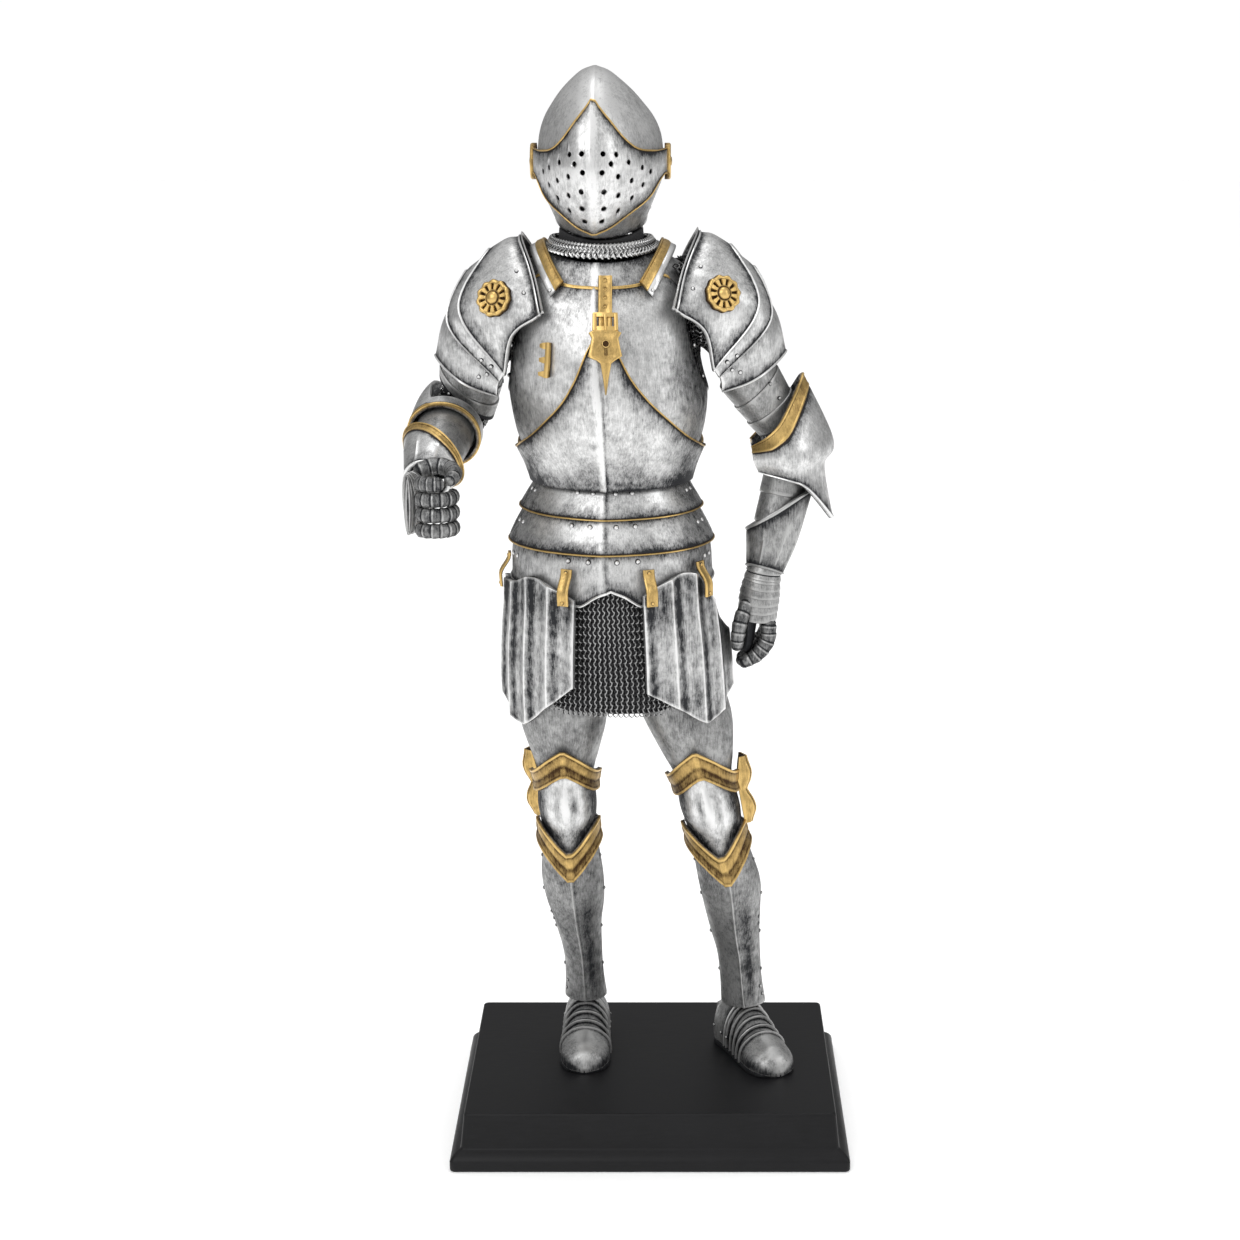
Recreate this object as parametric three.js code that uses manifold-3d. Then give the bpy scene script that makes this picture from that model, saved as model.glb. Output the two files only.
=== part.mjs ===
// A suit of plate armour, made as a 1:6 display miniature on a black wooden plinth.
// Millimetres, +Z up. The origin is the middle of the plinth's underside; the suit faces -Y.
// "right" and "left" are the wearer's: the right side is at -X.
//
// Every plate is a hollow wall, cut out of a smooth surface. A surface is a function of two
// numbers, how far along the body or limb and how far across it, and it gives a point. Plates
// that lie on one another are made from the same surface, moved out along its normal.
import * as THREE from "three";
import { mergeVertices } from "three/addons/utils/BufferGeometryUtils.js";
import Module from "manifold-3d";

const wasm = await Module();
wasm.setup();

// Driving sizes
const WALL = 1.0; // thickness of a plate
const GAP = 0.3; // clearance between neighbouring plates
const STEP = WALL + GAP; // how far out a plate lies that overlaps another
const MAIL_WALL = 1.2; // thickness of the mail
const HEIGHT = 330; // top of the helmet above the plinth's underside
const PLINTH = {
  halfWidth: 57.1, halfDepth: 42.8, top: 17.5, batter: 1.1,
  slabOut: 3.3, slabSide: 3.7, slabTop: 6.4,
};
const FLOOR = PLINTH.top + GAP; // the feet stand here
const HELMET = { x: -14.2, y: 0, halfWidth: 18.4, radius: 27.6 };
HELMET.z = HEIGHT - HELMET.radius; // height of the visor's hinge axis
const MIRROR_X = -11.7; // the middle plane between the two shoulders

const STEEL = { color: 0x9a9c9e, metalness: 1, roughness: 0.42 };
const BRASS = { color: 0xb08d3c, metalness: 1, roughness: 0.4 };
const MAIL = { color: 0x3a3c3e, metalness: 0.9, roughness: 0.6 };
const WOOD = { color: 0x161618, metalness: 0, roughness: 0.45 };

const { sin, cos, abs, sign, max, min } = Math;
const { degToRad, lerp, clamp, smoothstep } = THREE.MathUtils;
const vec = (x, y, z) => new THREE.Vector3(x, y, z);

// ---------------------------------------------------------------- curves and surfaces

// A smooth curve through the rows of a table: the value of one column against another.
function curve(rows, key, by = "z") {
  const pts = rows.map((row) => [row[by], row[key] ?? 0]).sort((a, b) => a[0] - b[0]);
  const last = pts.length - 1;
  const slope = (i, j) => (pts[j][1] - pts[i][1]) / (pts[j][0] - pts[i][0]);
  const slopes = pts.map((_, i) => {
    if (i === 0) return slope(0, 1);
    if (i === last) return slope(last - 1, last);
    return (slope(i - 1, i) + slope(i, i + 1)) / 2;
  });
  return (at) => {
    const x = clamp(at, pts[0][0], pts[last][0]);
    let i = 0;
    while (i < last - 1 && x > pts[i + 1][0]) i++;
    const h = pts[i + 1][0] - pts[i][0];
    const t = (x - pts[i][0]) / h;
    const [t2, t3] = [t * t, t * t * t];
    return (
      (2 * t3 - 3 * t2 + 1) * pts[i][1] +
      (t3 - 2 * t2 + t) * h * slopes[i] +
      (3 * t2 - 2 * t3) * pts[i + 1][1] +
      (t3 - t2) * h * slopes[i + 1]
    );
  };
}

// The same on both sides of the middle: a curve through (angle, value) pairs, read at |angle|.
function evenCurve(pairs) {
  const read = curve(pairs.map(([z, v]) => ({ z, v })), "v");
  return (angle) => read(abs(angle));
}

// An unequal curve through (angle, value) pairs.
const angleCurve = (pairs) => curve(pairs.map(([z, v]) => ({ z, v })), "v");

// A surface of level sections: rows of {z, x, y, wide, front, back, keel}. Across is an angle in
// degrees, 0 at the front (-Y), 90 at +X. The keel is a ridge down the front, at the angle keelAt.
const KEEL_SPREAD = 26; // degrees on either side of the ridge over which it fades
function form(rows, keelAt = 0) {
  const columns = ["x", "y", "wide", "front", "back", "keel"];
  const at = Object.fromEntries(columns.map((key) => [key, curve(rows, key)]));
  const surface = (z, angle) => {
    const a = degToRad(angle);
    const turned = abs(((angle - keelAt + 540) % 360) - 180);
    const depth = cos(a) > 0 ? at.front(z) : at.back(z);
    const ridge = at.keel(z) * max(0, 1 - turned / KEEL_SPREAD) ** 1.5;
    return vec(at.x(z) + at.wide(z) * sin(a), at.y(z) - depth * cos(a) - ridge, z);
  };
  surface.up = 1;
  return surface;
}

// A surface of sections square to a limb's middle line: rows of {x, y, z, wide, front, back},
// from the top of the limb to its end. Along is the row's number. `ahead` is the limb's front.
function limb(rows, ahead = vec(0, -1, 0)) {
  const numbered = rows.map((row, n) => ({ ...row, n }));
  const at = Object.fromEntries(
    ["x", "y", "z", "wide", "front", "back"].map((key) => [key, curve(numbered, key, "n")]),
  );
  const middle = (n) => vec(at.x(n), at.y(n), at.z(n));
  const surface = (n, angle) => {
    const a = degToRad(angle);
    const m = clamp(n, 0.02, rows.length - 1.02);
    const up = middle(m - 0.02).sub(middle(m + 0.02)).normalize();
    const front = ahead.clone().addScaledVector(up, -ahead.dot(up)).normalize();
    const side = up.clone().cross(front);
    const depth = cos(a) > 0 ? at.front(n) : at.back(n);
    return middle(n).addScaledVector(side, at.wide(n) * sin(a)).addScaledVector(front, depth * cos(a));
  };
  surface.up = -1;
  surface.middle = middle;
  return surface;
}

// A surface through loops. Each loop runs from its front end over its outermost point to its
// back end, which mirrors the front. Across is -90 at the front end, 0 outermost, 90 at the back.
function loops(rows) {
  const keys = ["x", "y", "z"];
  const stations = rows.map(({ end, mid, out }, n) => {
    const back = ([x, y, z]) => [x, 2 * out[1] - y, z];
    return { n, points: [end, mid, out, back(mid), back(end)] };
  });
  const columns = [0, 1, 2, 3, 4].map((j) =>
    keys.map((_, k) => curve(stations.map((s) => ({ n: s.n, v: s.points[j][k] })), "v", "n")),
  );
  const surface = (n, angle) => {
    const here = columns.map((column) => column.map((read) => read(n)));
    const point = keys.map((_, k) => curve(here.map((p, j) => ({ z: j * 45 - 90, v: p[k] })), "v")(angle));
    return vec(...point);
  };
  surface.up = 1;
  return surface;
}

// The surface's outward normal.
function normalAt(surface, along, across) {
  const [da, dc] = [0.02, 0.3];
  const ahead = surface(along + da, across).sub(surface(along - da, across));
  const aside = surface(along, across + dc).sub(surface(along, across - dc));
  return aside.cross(ahead).multiplyScalar(surface.up).normalize();
}

// ---------------------------------------------------------------- solids

// A geometry from triangles of points: equal points are merged, flat triangles dropped, and the
// faces turned to point out.
function solidFrom(triangles) {
  const index = new Map();
  const points = [];
  const faces = [];
  const number = (p) => {
    const key = [p.x, p.y, p.z].map((v) => Math.round(v * 500)).join();
    if (!index.has(key)) {
      index.set(key, points.length);
      points.push(p);
    }
    return index.get(key);
  };
  for (const triangle of triangles) {
    const [a, b, c] = triangle.map(number);
    if (a !== b && b !== c && c !== a) faces.push([a, b, c]);
  }
  const volume = faces.reduce((sum, [a, b, c]) => sum + points[a].dot(points[b].clone().cross(points[c])), 0);
  const geometry = new THREE.BufferGeometry();
  const numbers = points.flatMap((p) => [p.x, p.y, p.z]);
  geometry.setAttribute("position", new THREE.Float32BufferAttribute(numbers, 3));
  geometry.setIndex(faces.flatMap(([a, b, c]) => (volume < 0 ? [a, c, b] : [a, b, c])));
  return geometry;
}

// A closed wall between two grids of points. A grid is rows of columns.
function wallBetween(outer, inner, closed) {
  const rows = outer.length;
  const columns = outer[0].length;
  const triangles = [];
  const quad = (a, b, c, d) => triangles.push([a, b, c], [a, c, d]);
  for (let i = 0; i < rows - 1; i++)
    for (let j = 0; j < columns - 1; j++) {
      quad(outer[i][j], outer[i + 1][j], outer[i + 1][j + 1], outer[i][j + 1]);
      quad(inner[i][j], inner[i][j + 1], inner[i + 1][j + 1], inner[i + 1][j]);
    }
  for (let j = 0; j < columns - 1; j++) {
    quad(outer[0][j], outer[0][j + 1], inner[0][j + 1], inner[0][j]);
    quad(outer[rows - 1][j + 1], outer[rows - 1][j], inner[rows - 1][j], inner[rows - 1][j + 1]);
  }
  if (!closed)
    for (let i = 0; i < rows - 1; i++) {
      const end = columns - 1;
      quad(outer[i][0], inner[i][0], inner[i + 1][0], outer[i + 1][0]);
      quad(outer[i + 1][end], inner[i + 1][end], inner[i][end], outer[i][end]);
    }
  return solidFrom(triangles);
}

// A plate cut from a surface. top and bottom say where its edges run, as numbers or as functions
// of the angle; lift says how far out of the surface it lies, as a number or as a function of how
// far down the plate (0 to 1) and the angle.
function plate(surface, shape) {
  const { from = -180, to = 180, top, bottom, lift = 0, wall = WALL, across = 20, along = 4 } = shape;
  const value = (given, ...args) => (typeof given === "function" ? given(...args) : given);
  const closed = to - from === 360;
  const [outer, inner] = [[], []];
  for (let i = 0; i <= along; i++) {
    outer.push([]);
    inner.push([]);
    for (let j = 0; j <= across; j++) {
      const angle = closed && j === across ? from : lerp(from, to, j / across);
      const down = i / along;
      const reach = lerp(value(top, angle), value(bottom, angle), down);
      const normal = normalAt(surface, reach, angle);
      const out = value(lift, down, angle);
      outer[i].push(surface(reach, angle).addScaledVector(normal, out));
      inner[i].push(surface(reach, angle).addScaledVector(normal, out - value(wall, down, angle)));
    }
  }
  return wallBetween(outer, inner, closed);
}

// A strap: a bar of a given thickness between two lines of points, lying on the lower side.
function strap(leftLine, rightLine, upward, thickness = WALL) {
  const row = (line, out) => line.map((p, i) => p.clone().addScaledVector(upward(i, p), out));
  const outer = leftLine.map((_, i) => [row(leftLine, thickness)[i], row(rightLine, thickness)[i]]);
  const inner = leftLine.map((_, i) => [leftLine[i], rightLine[i]]);
  return wallBetween(outer, inner, false);
}

// Mirrored to the other side of the body.
function mirrored(geometry, middle = MIRROR_X) {
  const copy = geometry.clone().applyMatrix4(
    new THREE.Matrix4().makeTranslation(2 * middle, 0, 0).multiply(new THREE.Matrix4().makeScale(-1, 1, 1)),
  );
  const index = [...copy.index.array];
  for (let i = 0; i < index.length; i += 3) [index[i + 1], index[i + 2]] = [index[i + 2], index[i + 1]];
  return copy.setIndex(index);
}

// manifold-3d joins and cuts.
function toManifold(geometry) {
  const bare = geometry.clone();
  for (const name of ["normal", "uv"]) bare.deleteAttribute(name);
  const merged = mergeVertices(bare, 1e-3);
  return new wasm.Manifold(
    new wasm.Mesh({
      numProp: 3,
      vertProperties: new Float32Array(merged.attributes.position.array),
      triVerts: new Uint32Array(merged.index.array),
    }),
  );
}

function fromManifold(solid) {
  const mesh = solid.getMesh();
  const points = new Float32Array(mesh.numVert * 3);
  for (let i = 0; i < mesh.numVert; i++)
    points.set(mesh.vertProperties.subarray(i * mesh.numProp, i * mesh.numProp + 3), i * 3);
  return new THREE.BufferGeometry()
    .setAttribute("position", new THREE.BufferAttribute(points, 3))
    .setIndex([...mesh.triVerts]);
}

const joined = (...all) => fromManifold(all.map(toManifold).reduce((sum, next) => sum.add(next)));
const cut = (body, ...tools) =>
  fromManifold(tools.map(toManifold).reduce((left, tool) => left.subtract(tool), toManifold(body)));

const suit = new THREE.Group();
function add(name, geometry, material) {
  const mesh = new THREE.Mesh(geometry, new THREE.MeshStandardMaterial(material));
  mesh.name = name;
  suit.add(mesh);
}

// ---------------------------------------------------------------- plinth

function plinth() {
  const { halfWidth, halfDepth, top, batter, slabOut, slabSide, slabTop } = PLINTH;
  // Rings from the underside up: how far each stands out of the top face, and its height.
  const profile = [
    { out: batter + slabOut, z: 0 },
    { out: batter + slabOut, z: slabSide },
    { out: batter + slabOut * 0.75, z: slabTop - 0.8 },
    { out: batter, z: slabTop },
    { out: 0, z: top },
  ];
  const corners = [[-1, -1], [1, -1], [1, 1], [-1, 1]];
  const ring = ({ out, z }) => corners.map(([x, y]) => vec(x * (halfWidth + out), y * (halfDepth + out), z));
  const rings = profile.map(ring);
  const triangles = [];
  const quad = (a, b, c, d) => triangles.push([a, b, c], [a, c, d]);
  for (let i = 0; i < rings.length - 1; i++)
    for (let k = 0; k < 4; k++) {
      const next = (k + 1) % 4;
      quad(rings[i][k], rings[i][next], rings[i + 1][next], rings[i + 1][k]);
    }
  quad(...rings.at(-1));
  quad(...[...rings[0]].reverse());
  add("plinth", solidFrom(triangles), WOOD);
}

// ---------------------------------------------------------------- helmet

// The helmet is turned about the visor's hinge axis, so that the visor clears it as it lifts.
// Along is the angle about that axis, 0 ahead and 90 up; across is -90 at the right ear.
const helmetRadius = evenCurve([
  [0, 1], [12, 0.953], [24, 0.851], [35, 0.743], [48, 0.601],
  [60, 0.478], [72, 0.34], [80, 0.235], [85, 0.14], [90, 0.03],
]);

// The face looks a little to the wearer's right: its middle lies FACE_TURN degrees across from the
// middle between the ears.
const FACE_TURN = 5;
const faced = (across) => across + FACE_TURN * cos(degToRad(across));

function turnedPoint(turn, across, extra = 0) {
  const radius = HELMET.radius * helmetRadius(faced(across)) + extra;
  const a = degToRad(turn);
  return vec(
    HELMET.x + HELMET.halfWidth * sin(degToRad(across)),
    HELMET.y - radius * cos(a),
    HELMET.z + radius * sin(a),
  );
}

const NECK = { wide: 12.6, front: 13.6, back: 14.6, sideZ: 283.6, frontZ: 281, backZ: 283 };
const CHIN_TURN = -45; // below this the bevor draws in to the neck
const NAPE_TURN = 222; // past this the skull draws in to the neck
const NECK_TURN = 40; // it does so over this many degrees
const EAR = 88; // how far across the skull and bevor reach
const VISOR_ARM = 86;
const VISOR_WALL = 0.9;

function neckPoint(across, behind) {
  const a = degToRad(across);
  const depth = behind ? NECK.back : -NECK.front;
  const z = lerp(behind ? NECK.backZ : NECK.frontZ, NECK.sideZ, sin(a) ** 2);
  return vec(HELMET.x + NECK.wide * sin(a), depth * cos(a), z);
}

function helmetSurface(turn, across) {
  if (turn > NAPE_TURN)
    return turnedPoint(NAPE_TURN, across).lerp(neckPoint(across, true), (turn - NAPE_TURN) / NECK_TURN);
  if (turn < CHIN_TURN)
    return turnedPoint(CHIN_TURN, across).lerp(neckPoint(across, false), (CHIN_TURN - turn) / NECK_TURN);
  return turnedPoint(turn, across);
}
helmetSurface.up = 1;

function visorSurface(turn, across) {
  const bulge = max(0, 1 - abs(turn) / 44) * cos(degToRad(faced(across))) ** 2;
  return turnedPoint(turn, across, 1.1 * bulge);
}
visorSurface.up = 1;

function helmet() {
  const upperEdge = evenCurve([
    [0, 41], [13, 29], [25, 20], [37, 14.5], [51, 15], [67, 21], [78, 34], [86, 60],
  ]);
  const lowerEdge = evenCurve([[0, -43], [15, -40], [31, -37], [52, -34], [67, -22], [78, -24], [86, -50]]);
  const top = (across) => upperEdge(faced(across));
  const bottom = (across) => lowerEdge(faced(across));
  const brow = (across) => min(36, top(across) - 7);
  const sides = { from: -EAR, to: EAR };
  add("helmet_skull", plate(helmetSurface, {
    ...sides, top: NAPE_TURN + NECK_TURN, bottom: brow, across: 14, along: 8,
  }), STEEL);
  add("helmet_bevor", plate(helmetSurface, {
    ...sides, top: -12, bottom: CHIN_TURN - NECK_TURN, across: 12, along: 3,
  }), STEEL);
  const lift = GAP + 0.15 + VISOR_WALL;
  add("helmet_visor", plate(visorSurface, {
    from: -VISOR_ARM, to: VISOR_ARM, top, bottom, lift, wall: VISOR_WALL, across: 18, along: 4,
  }), STEEL);
  // The hinge's caps, outside the visor's arms, each with the stub of its pin
  const profile = [[0, 0], [2.2, 0], [2.2, 1.3], [5.2, 1.3], [5.2, 1.7], [4.4, 2.2], [0, 2.2]];
  for (const [name, side] of [["right", -1], ["left", 1]]) {
    const cap = new THREE.LatheGeometry(profile.map(([r, y]) => new THREE.Vector2(r, y)), 10);
    cap.rotateZ((-side * Math.PI) / 2);
    cap.translate(HELMET.x + side * (HELMET.halfWidth + GAP), HELMET.y, HELMET.z);
    add(`visor_pivot_${name}`, cap, BRASS);
  }
}

// ---------------------------------------------------------------- neck and torso

const BODY_TURN = -4; // the body's ridge lies this many degrees to the wearer's right
const torso = form([
  { z: 281, x: -14.2, wide: 15.0, front: 14.9, back: 15.6 },
  { z: 278.5, x: -14, wide: 17, front: 15.3, back: 16 },
  { z: 275.5, x: -13.9, wide: 22, front: 16, back: 17 },
  { z: 272.5, x: -13.8, wide: 27, front: 17.2, back: 18.2 },
  { z: 267.5, x: -13.7, wide: 31, front: 20, back: 20 },
  { z: 262, x: -13.7, wide: 32, front: 23, back: 21.2 },
  { z: 254, x: -13.7, wide: 31, front: 25.8, back: 22, keel: 0.6 },
  { z: 247, x: -13.4, wide: 30, front: 27.6, back: 22, keel: 1 },
  { z: 240.6, x: -13, wide: 29.6, front: 28.2, back: 21.8, keel: 1 },
  { z: 234, x: -12.3, wide: 29.8, front: 28.2, back: 21.3, keel: 1 },
  { z: 227, x: -12, wide: 29, front: 27.2, back: 20.5, keel: 1 },
  { z: 221, x: -11.9, wide: 27.6, front: 25.6, back: 19.5, keel: 1 },
  { z: 214, x: -11.7, wide: 24.6, front: 22.8, back: 18.2, keel: 1 },
  { z: 208, x: -11.6, wide: 22.6, front: 20.8, back: 17.4, keel: 1 },
], BODY_TURN);

const faulds = form([
  { z: 211, x: -11.6, wide: 20.9, front: 19.3, back: 15.2, keel: 1 },
  { z: 207, x: -11.6, wide: 23, front: 21, back: 17.1, keel: 1 },
  { z: 199, x: -11.7, wide: 26.4, front: 23.4, back: 20.3, keel: 1 },
  { z: 189, x: -11.7, wide: 29.7, front: 26, back: 23, keel: 1 },
  { z: 179, x: -11.5, wide: 29.2, front: 26.8, back: 24.4, keel: 1 },
  { z: 171, x: -11.4, wide: 29.4, front: 27.2, back: 25, keel: 1 },
], BODY_TURN);

const neck = form([
  { z: 286, x: -14.2, wide: 12.6, front: 13.6, back: 14.4 },
  { z: 281, x: -14.2, wide: 12.9, front: 13.7, back: 14.6 },
  { z: 275, x: -14.2, wide: 13.6, front: 14.2, back: 15 },
]);

const NECKLINE = evenCurve([
  [0, 267.6], [20, 268.4], [38, 271], [46, 267.5], [54, 255.5], [65, 246], [76, 239], [90, 235],
]);
const BACK_NECKLINE = evenCurve([[0, 273], [25, 273], [45, 271], [60, 257.5], [72, 245], [80, 239], [90, 235]]);
const PLACKART_EDGE = evenCurve([
  [0, 256], [8, 249.5], [15, 242.2], [23, 236], [35, 230], [49, 224.8], [66, 221.2], [80, 219.3], [90, 219],
]);
const SIDE_SEAM = 89.4; // the breastplate ends here on either side
const collar = (front, side, fall) => (angle) => {
  const behind = max(0, -cos(degToRad(angle)));
  return lerp(front, side, sin(degToRad(angle)) ** 2) + fall * behind;
};

function torsoPlates() {
  const collarTop = collar(280.5, 283.1, 2);
  const collarFoot = collar(275.3, 279.9, 4.2);
  const front = { from: -SIDE_SEAM, to: SIDE_SEAM };
  const back = { from: 180 - SIDE_SEAM, to: 180 + SIDE_SEAM };
  add("gorget_collar", plate(neck, {
    top: collarTop, bottom: collarFoot, wall: MAIL_WALL, across: 16, along: 1,
  }), MAIL);
  add("gorget_plate", plate(torso, {
    top: (a) => collarFoot(a) - 0.5, bottom: 264, lift: (down) => -STEP - 1.2 * down, across: 18, along: 3,
  }), STEEL);
  add("breastplate", plate(torso, { ...front, top: NECKLINE, bottom: 211, across: 20, along: 6 }), STEEL);
  add("backplate", plate(torso, {
    ...back, top: (a) => BACK_NECKLINE(a - 180), bottom: 209, across: 16, along: 5,
  }), STEEL);
  add("plackart", plate(torso, {
    ...front, top: PLACKART_EDGE, bottom: 208.4, across: 20, along: 4,
    lift: (down) => STEP + 0.75 + 1.2 * max(0, down - 0.9),
  }), STEEL);
}

// The lowest lame is cut up in the middle and hangs lowest on either side of it.
const FAULD_FOOT = evenCurve([
  [0, 178.4], [8, 176.5], [17, 173.6], [25, 174.6], [45, 176.6], [70, 177], [110, 178], [180, 180],
]);

// Lames that overlap like tiles: each one's top lies under the foot of the one above.
function fauldPlates() {
  const tiled = (down) => 1.75 * down;
  const edges = [[210.4, 199], [200.9, 189], [190.9, FAULD_FOOT]];
  edges.forEach(([top, bottom], n) => {
    add(`fauld_${n + 1}`, plate(faulds, { top, bottom, lift: tiled, across: 22, along: 2 }), STEEL);
  });
}

// The mail skirt hangs inside the faulds, in soft upright folds.
const skirt = form([
  { z: 188, x: -11.8, wide: 26.8, front: 23.4, back: 20.6 },
  { z: 179, x: -11.6, wide: 27.7, front: 24.6, back: 22.4 },
  { z: 165, x: -11.3, wide: 29.4, front: 25.4, back: 23.6 },
  { z: 150, x: -10.7, wide: 32, front: 25.3, back: 23.8 },
  { z: 139, x: -10.6, wide: 32.2, front: 24.8, back: 23.6 },
]);
const skirtHem = evenCurve([[0, 139.3], [35, 141], [60, 151], [90, 160], [125, 149], [180, 141]]);

// Tassets: fluted plates that hang from the lowest fauld lame, one over each thigh.
const TASSETS = {
  right: {
    from: -97, to: -19,
    rows: [
      { z: 184, x: -11.5, wide: 31, front: 29.2, back: 26.5 },
      { z: 172, x: -11.5, wide: 31.1, front: 29.4, back: 26.8 },
      { z: 160, x: -11.6, wide: 31.9, front: 29, back: 27 },
      { z: 147, x: -11.7, wide: 32.1, front: 28.8, back: 27 },
      { z: 134, x: -11.7, wide: 31.7, front: 28, back: 26.5 },
    ],
    peak: [[-97, 177], [-65, 178.6], [-47, 181.6], [-30, 178.8], [-19, 176.2]],
    foot: [[-97, 143.5], [-90, 143.3], [-55, 134.6], [-35, 142], [-19, 149.3]],
    straps: [-84, -24.5],
  },
  left: {
    from: 17, to: 97,
    rows: [
      { z: 184, x: -11.5, wide: 31.4, front: 29.2, back: 26.5 },
      { z: 172, x: -11.5, wide: 32.4, front: 29.4, back: 26.8 },
      { z: 160, x: -11.4, wide: 33.9, front: 29, back: 27 },
      { z: 147, x: -11.3, wide: 35, front: 28.8, back: 27 },
      { z: 134, x: -11.2, wide: 35.8, front: 28, back: 26.5 },
    ],
    peak: [[17, 177.6], [25, 180], [43, 183.2], [57, 179.6], [70, 168.5], [90, 157], [97, 154]],
    foot: [[17, 147.6], [35, 141], [52, 135.4], [75, 141.5], [90, 146.5], [97, 147]],
    straps: [21, 57],
  },
};
const FLUTES = 5;

const STRAP_MIDDLE = 180; // height of the middles of the tasset straps
const STRAP_HALF = 5.3;

function tassets() {
  for (const [side, { from, to, rows, peak, foot, straps }] of Object.entries(TASSETS)) {
    const surface = form(rows);
    const flute = (angle) => {
      const phase = (((angle - from) / (to - from)) * FLUTES) % 1;
      return 0.8 * abs(2 * phase - 1) ** 1.5;
    };
    const lift = (down, angle) => WALL + 0.3 + flute(angle);
    add(`tasset_${side}`, plate(surface, {
      from, to, top: angleCurve(peak), bottom: angleCurve(foot), lift, across: 15, along: 3,
    }), STEEL);
    straps.forEach((middle, n) => {
      // It lies on the fauld above, then steps out over the tasset's edge.
      const over = plate(surface, {
        from: middle - 3.2, to: middle + 3.2, across: 2, along: 3, wall: 0.9,
        top: STRAP_MIDDLE + STRAP_HALF, bottom: STRAP_MIDDLE - STRAP_HALF,
        lift: (down) => lerp(0.8, 3.8, smoothstep(down, 0.1, 0.65)),
      });
      add(`tasset_strap_${side}_${n + 1}`, over, BRASS);
    });
  }
  add("mail_skirt", plate(skirt, {
    top: 187, bottom: skirtHem, wall: MAIL_WALL, across: 24, along: 2,
    lift: (down, angle) => 0.4 * down * sin(degToRad(angle * 6)),
  }), MAIL);
}

// The strap that hangs from the neck over the breast, its buckle, and the bracket for a lance
const breastPoint = (x, z, out) => {
  let angle = 0;
  for (let k = 0; k < 12; k++) angle += (x - torso(z, angle).x) * 1.6;
  return torso(z, angle).addScaledVector(normalAt(torso, z, angle), out);
};
const onBreast = (outline, out, thickness) =>
  strap(
    outline.map(([left, , z]) => breastPoint(left, z, out)),
    outline.map(([, right, z]) => breastPoint(right, z, out)),
    (i) => normalAt(torso, outline[i][2], 0),
    thickness,
  );

function breastFittings() {
  const middle = -12.6;
  const out = STEP + GAP + 1;
  const width = (half, z) => [middle - half, middle + half, z];
  add("chest_strap", onBreast([width(2, 270.2), width(2, 265), width(2, 259.9)], 0.4 + GAP, WALL), BRASS);
  const buckle = [
    width(3.2, 259.4), width(3.4, 255.3), width(4.5, 254.9),
    width(4.2, 248.6), width(1.9, 246.8), width(0.5, 238),
  ];
  add("chest_buckle", onBreast(buckle, out, WALL), BRASS);
  const bracket = [[-31.7, -27.8, 252], [-31.8, -27.9, 247], [-32.1, -28.3, 242]];
  add("lance_rest", onBreast(bracket, GAP, 1.4), BRASS);
}

// The backplate's shoulder straps, which end square over the breast
function shoulderStraps() {
  const lines = [
    { inner: [-24.6, -19.6, 269.2], outer: [-28.4, -21, 264.8] },
    { inner: [-27.6, -15.4, 274], outer: [-31.6, -15.6, 270.6] },
    { inner: [-30, -7.5, 278], outer: [-34.3, -7.5, 275.6] },
    { inner: [-30.6, 1, 279], outer: [-35, 1, 276.8] },
    { inner: [-30, 9.5, 277.4], outer: [-34.3, 9.5, 275.2] },
    { inner: [-27.6, 18, 272.2], outer: [-31.6, 18, 269.6] },
  ];
  const centre = vec(-20, 0, 255);
  const right = strap(
    lines.map(({ inner }) => vec(...inner)),
    lines.map(({ outer }) => vec(...outer)),
    (i, p) => p.clone().sub(centre).normalize(),
  );
  add("shoulder_strap_right", right, STEEL);
  add("shoulder_strap_left", mirrored(right, -13.7), STEEL);
}

// ---------------------------------------------------------------- arms

// The pauldron's loops, for the right shoulder. Lame edges run along them.
const pauldron = loops([
  { end: [-29.4, -22.6, 259.8], mid: [-33.4, -15, 270.6], out: [-37.8, 0, 278.8] },
  { end: [-38.6, -21.4, 254.2], mid: [-41.6, -17.5, 267.6], out: [-41.4, 0, 278.8] },
  { end: [-41.6, -17.2, 242.4], mid: [-54.2, -14.5, 260.7], out: [-46.5, 0, 275.8] },
  { end: [-43, -15.8, 239], mid: [-58.4, -10.8, 256], out: [-53.5, 1, 270.2] },
  { end: [-43.6, -14.6, 236.6], mid: [-59.4, -10.4, 247.2], out: [-62.2, 2.5, 256.5] },
  { end: [-44, -14, 234], mid: [-56.8, -11.6, 238.4], out: [-65.4, 4, 244.4] },
]);

function pauldrons() {
  const main = plate(pauldron, {
    from: -90, to: 90, top: 0, bottom: 2.12, across: 14, along: 4,
    lift: (down) => STEP + 1.4 * max(0, 1 - down * 5),
  });
  const upper = plate(pauldron, {
    from: -88, to: 88, top: 1.9, bottom: 3.1, across: 12, along: 2, lift: (down) => -0.35 + 1.2 * down,
  });
  const lower = plate(pauldron, {
    from: -86, to: 86, top: 2.95, bottom: 5, across: 12, along: 3, lift: -0.75,
  });
  const rosette = new THREE.CylinderGeometry(3.6, 5.4, 1.6, 12);
  rosette.rotateX(Math.PI / 2);
  rosette.lookAt(vec(-0.42, -0.85, 0.3));
  rosette.translate(-44.9, -20.8, 264.6);
  for (const [name, shape, material] of [
    ["pauldron", main, STEEL], ["pauldron_lame_upper", upper, STEEL], ["pauldron_lame_lower", lower, STEEL],
    ["rosette", rosette, BRASS],
  ]) {
    add(`${name}_right`, shape, material);
    add(`${name}_left`, mirrored(shape).translate(0, 0, 1.3), material);
  }
}

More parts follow.
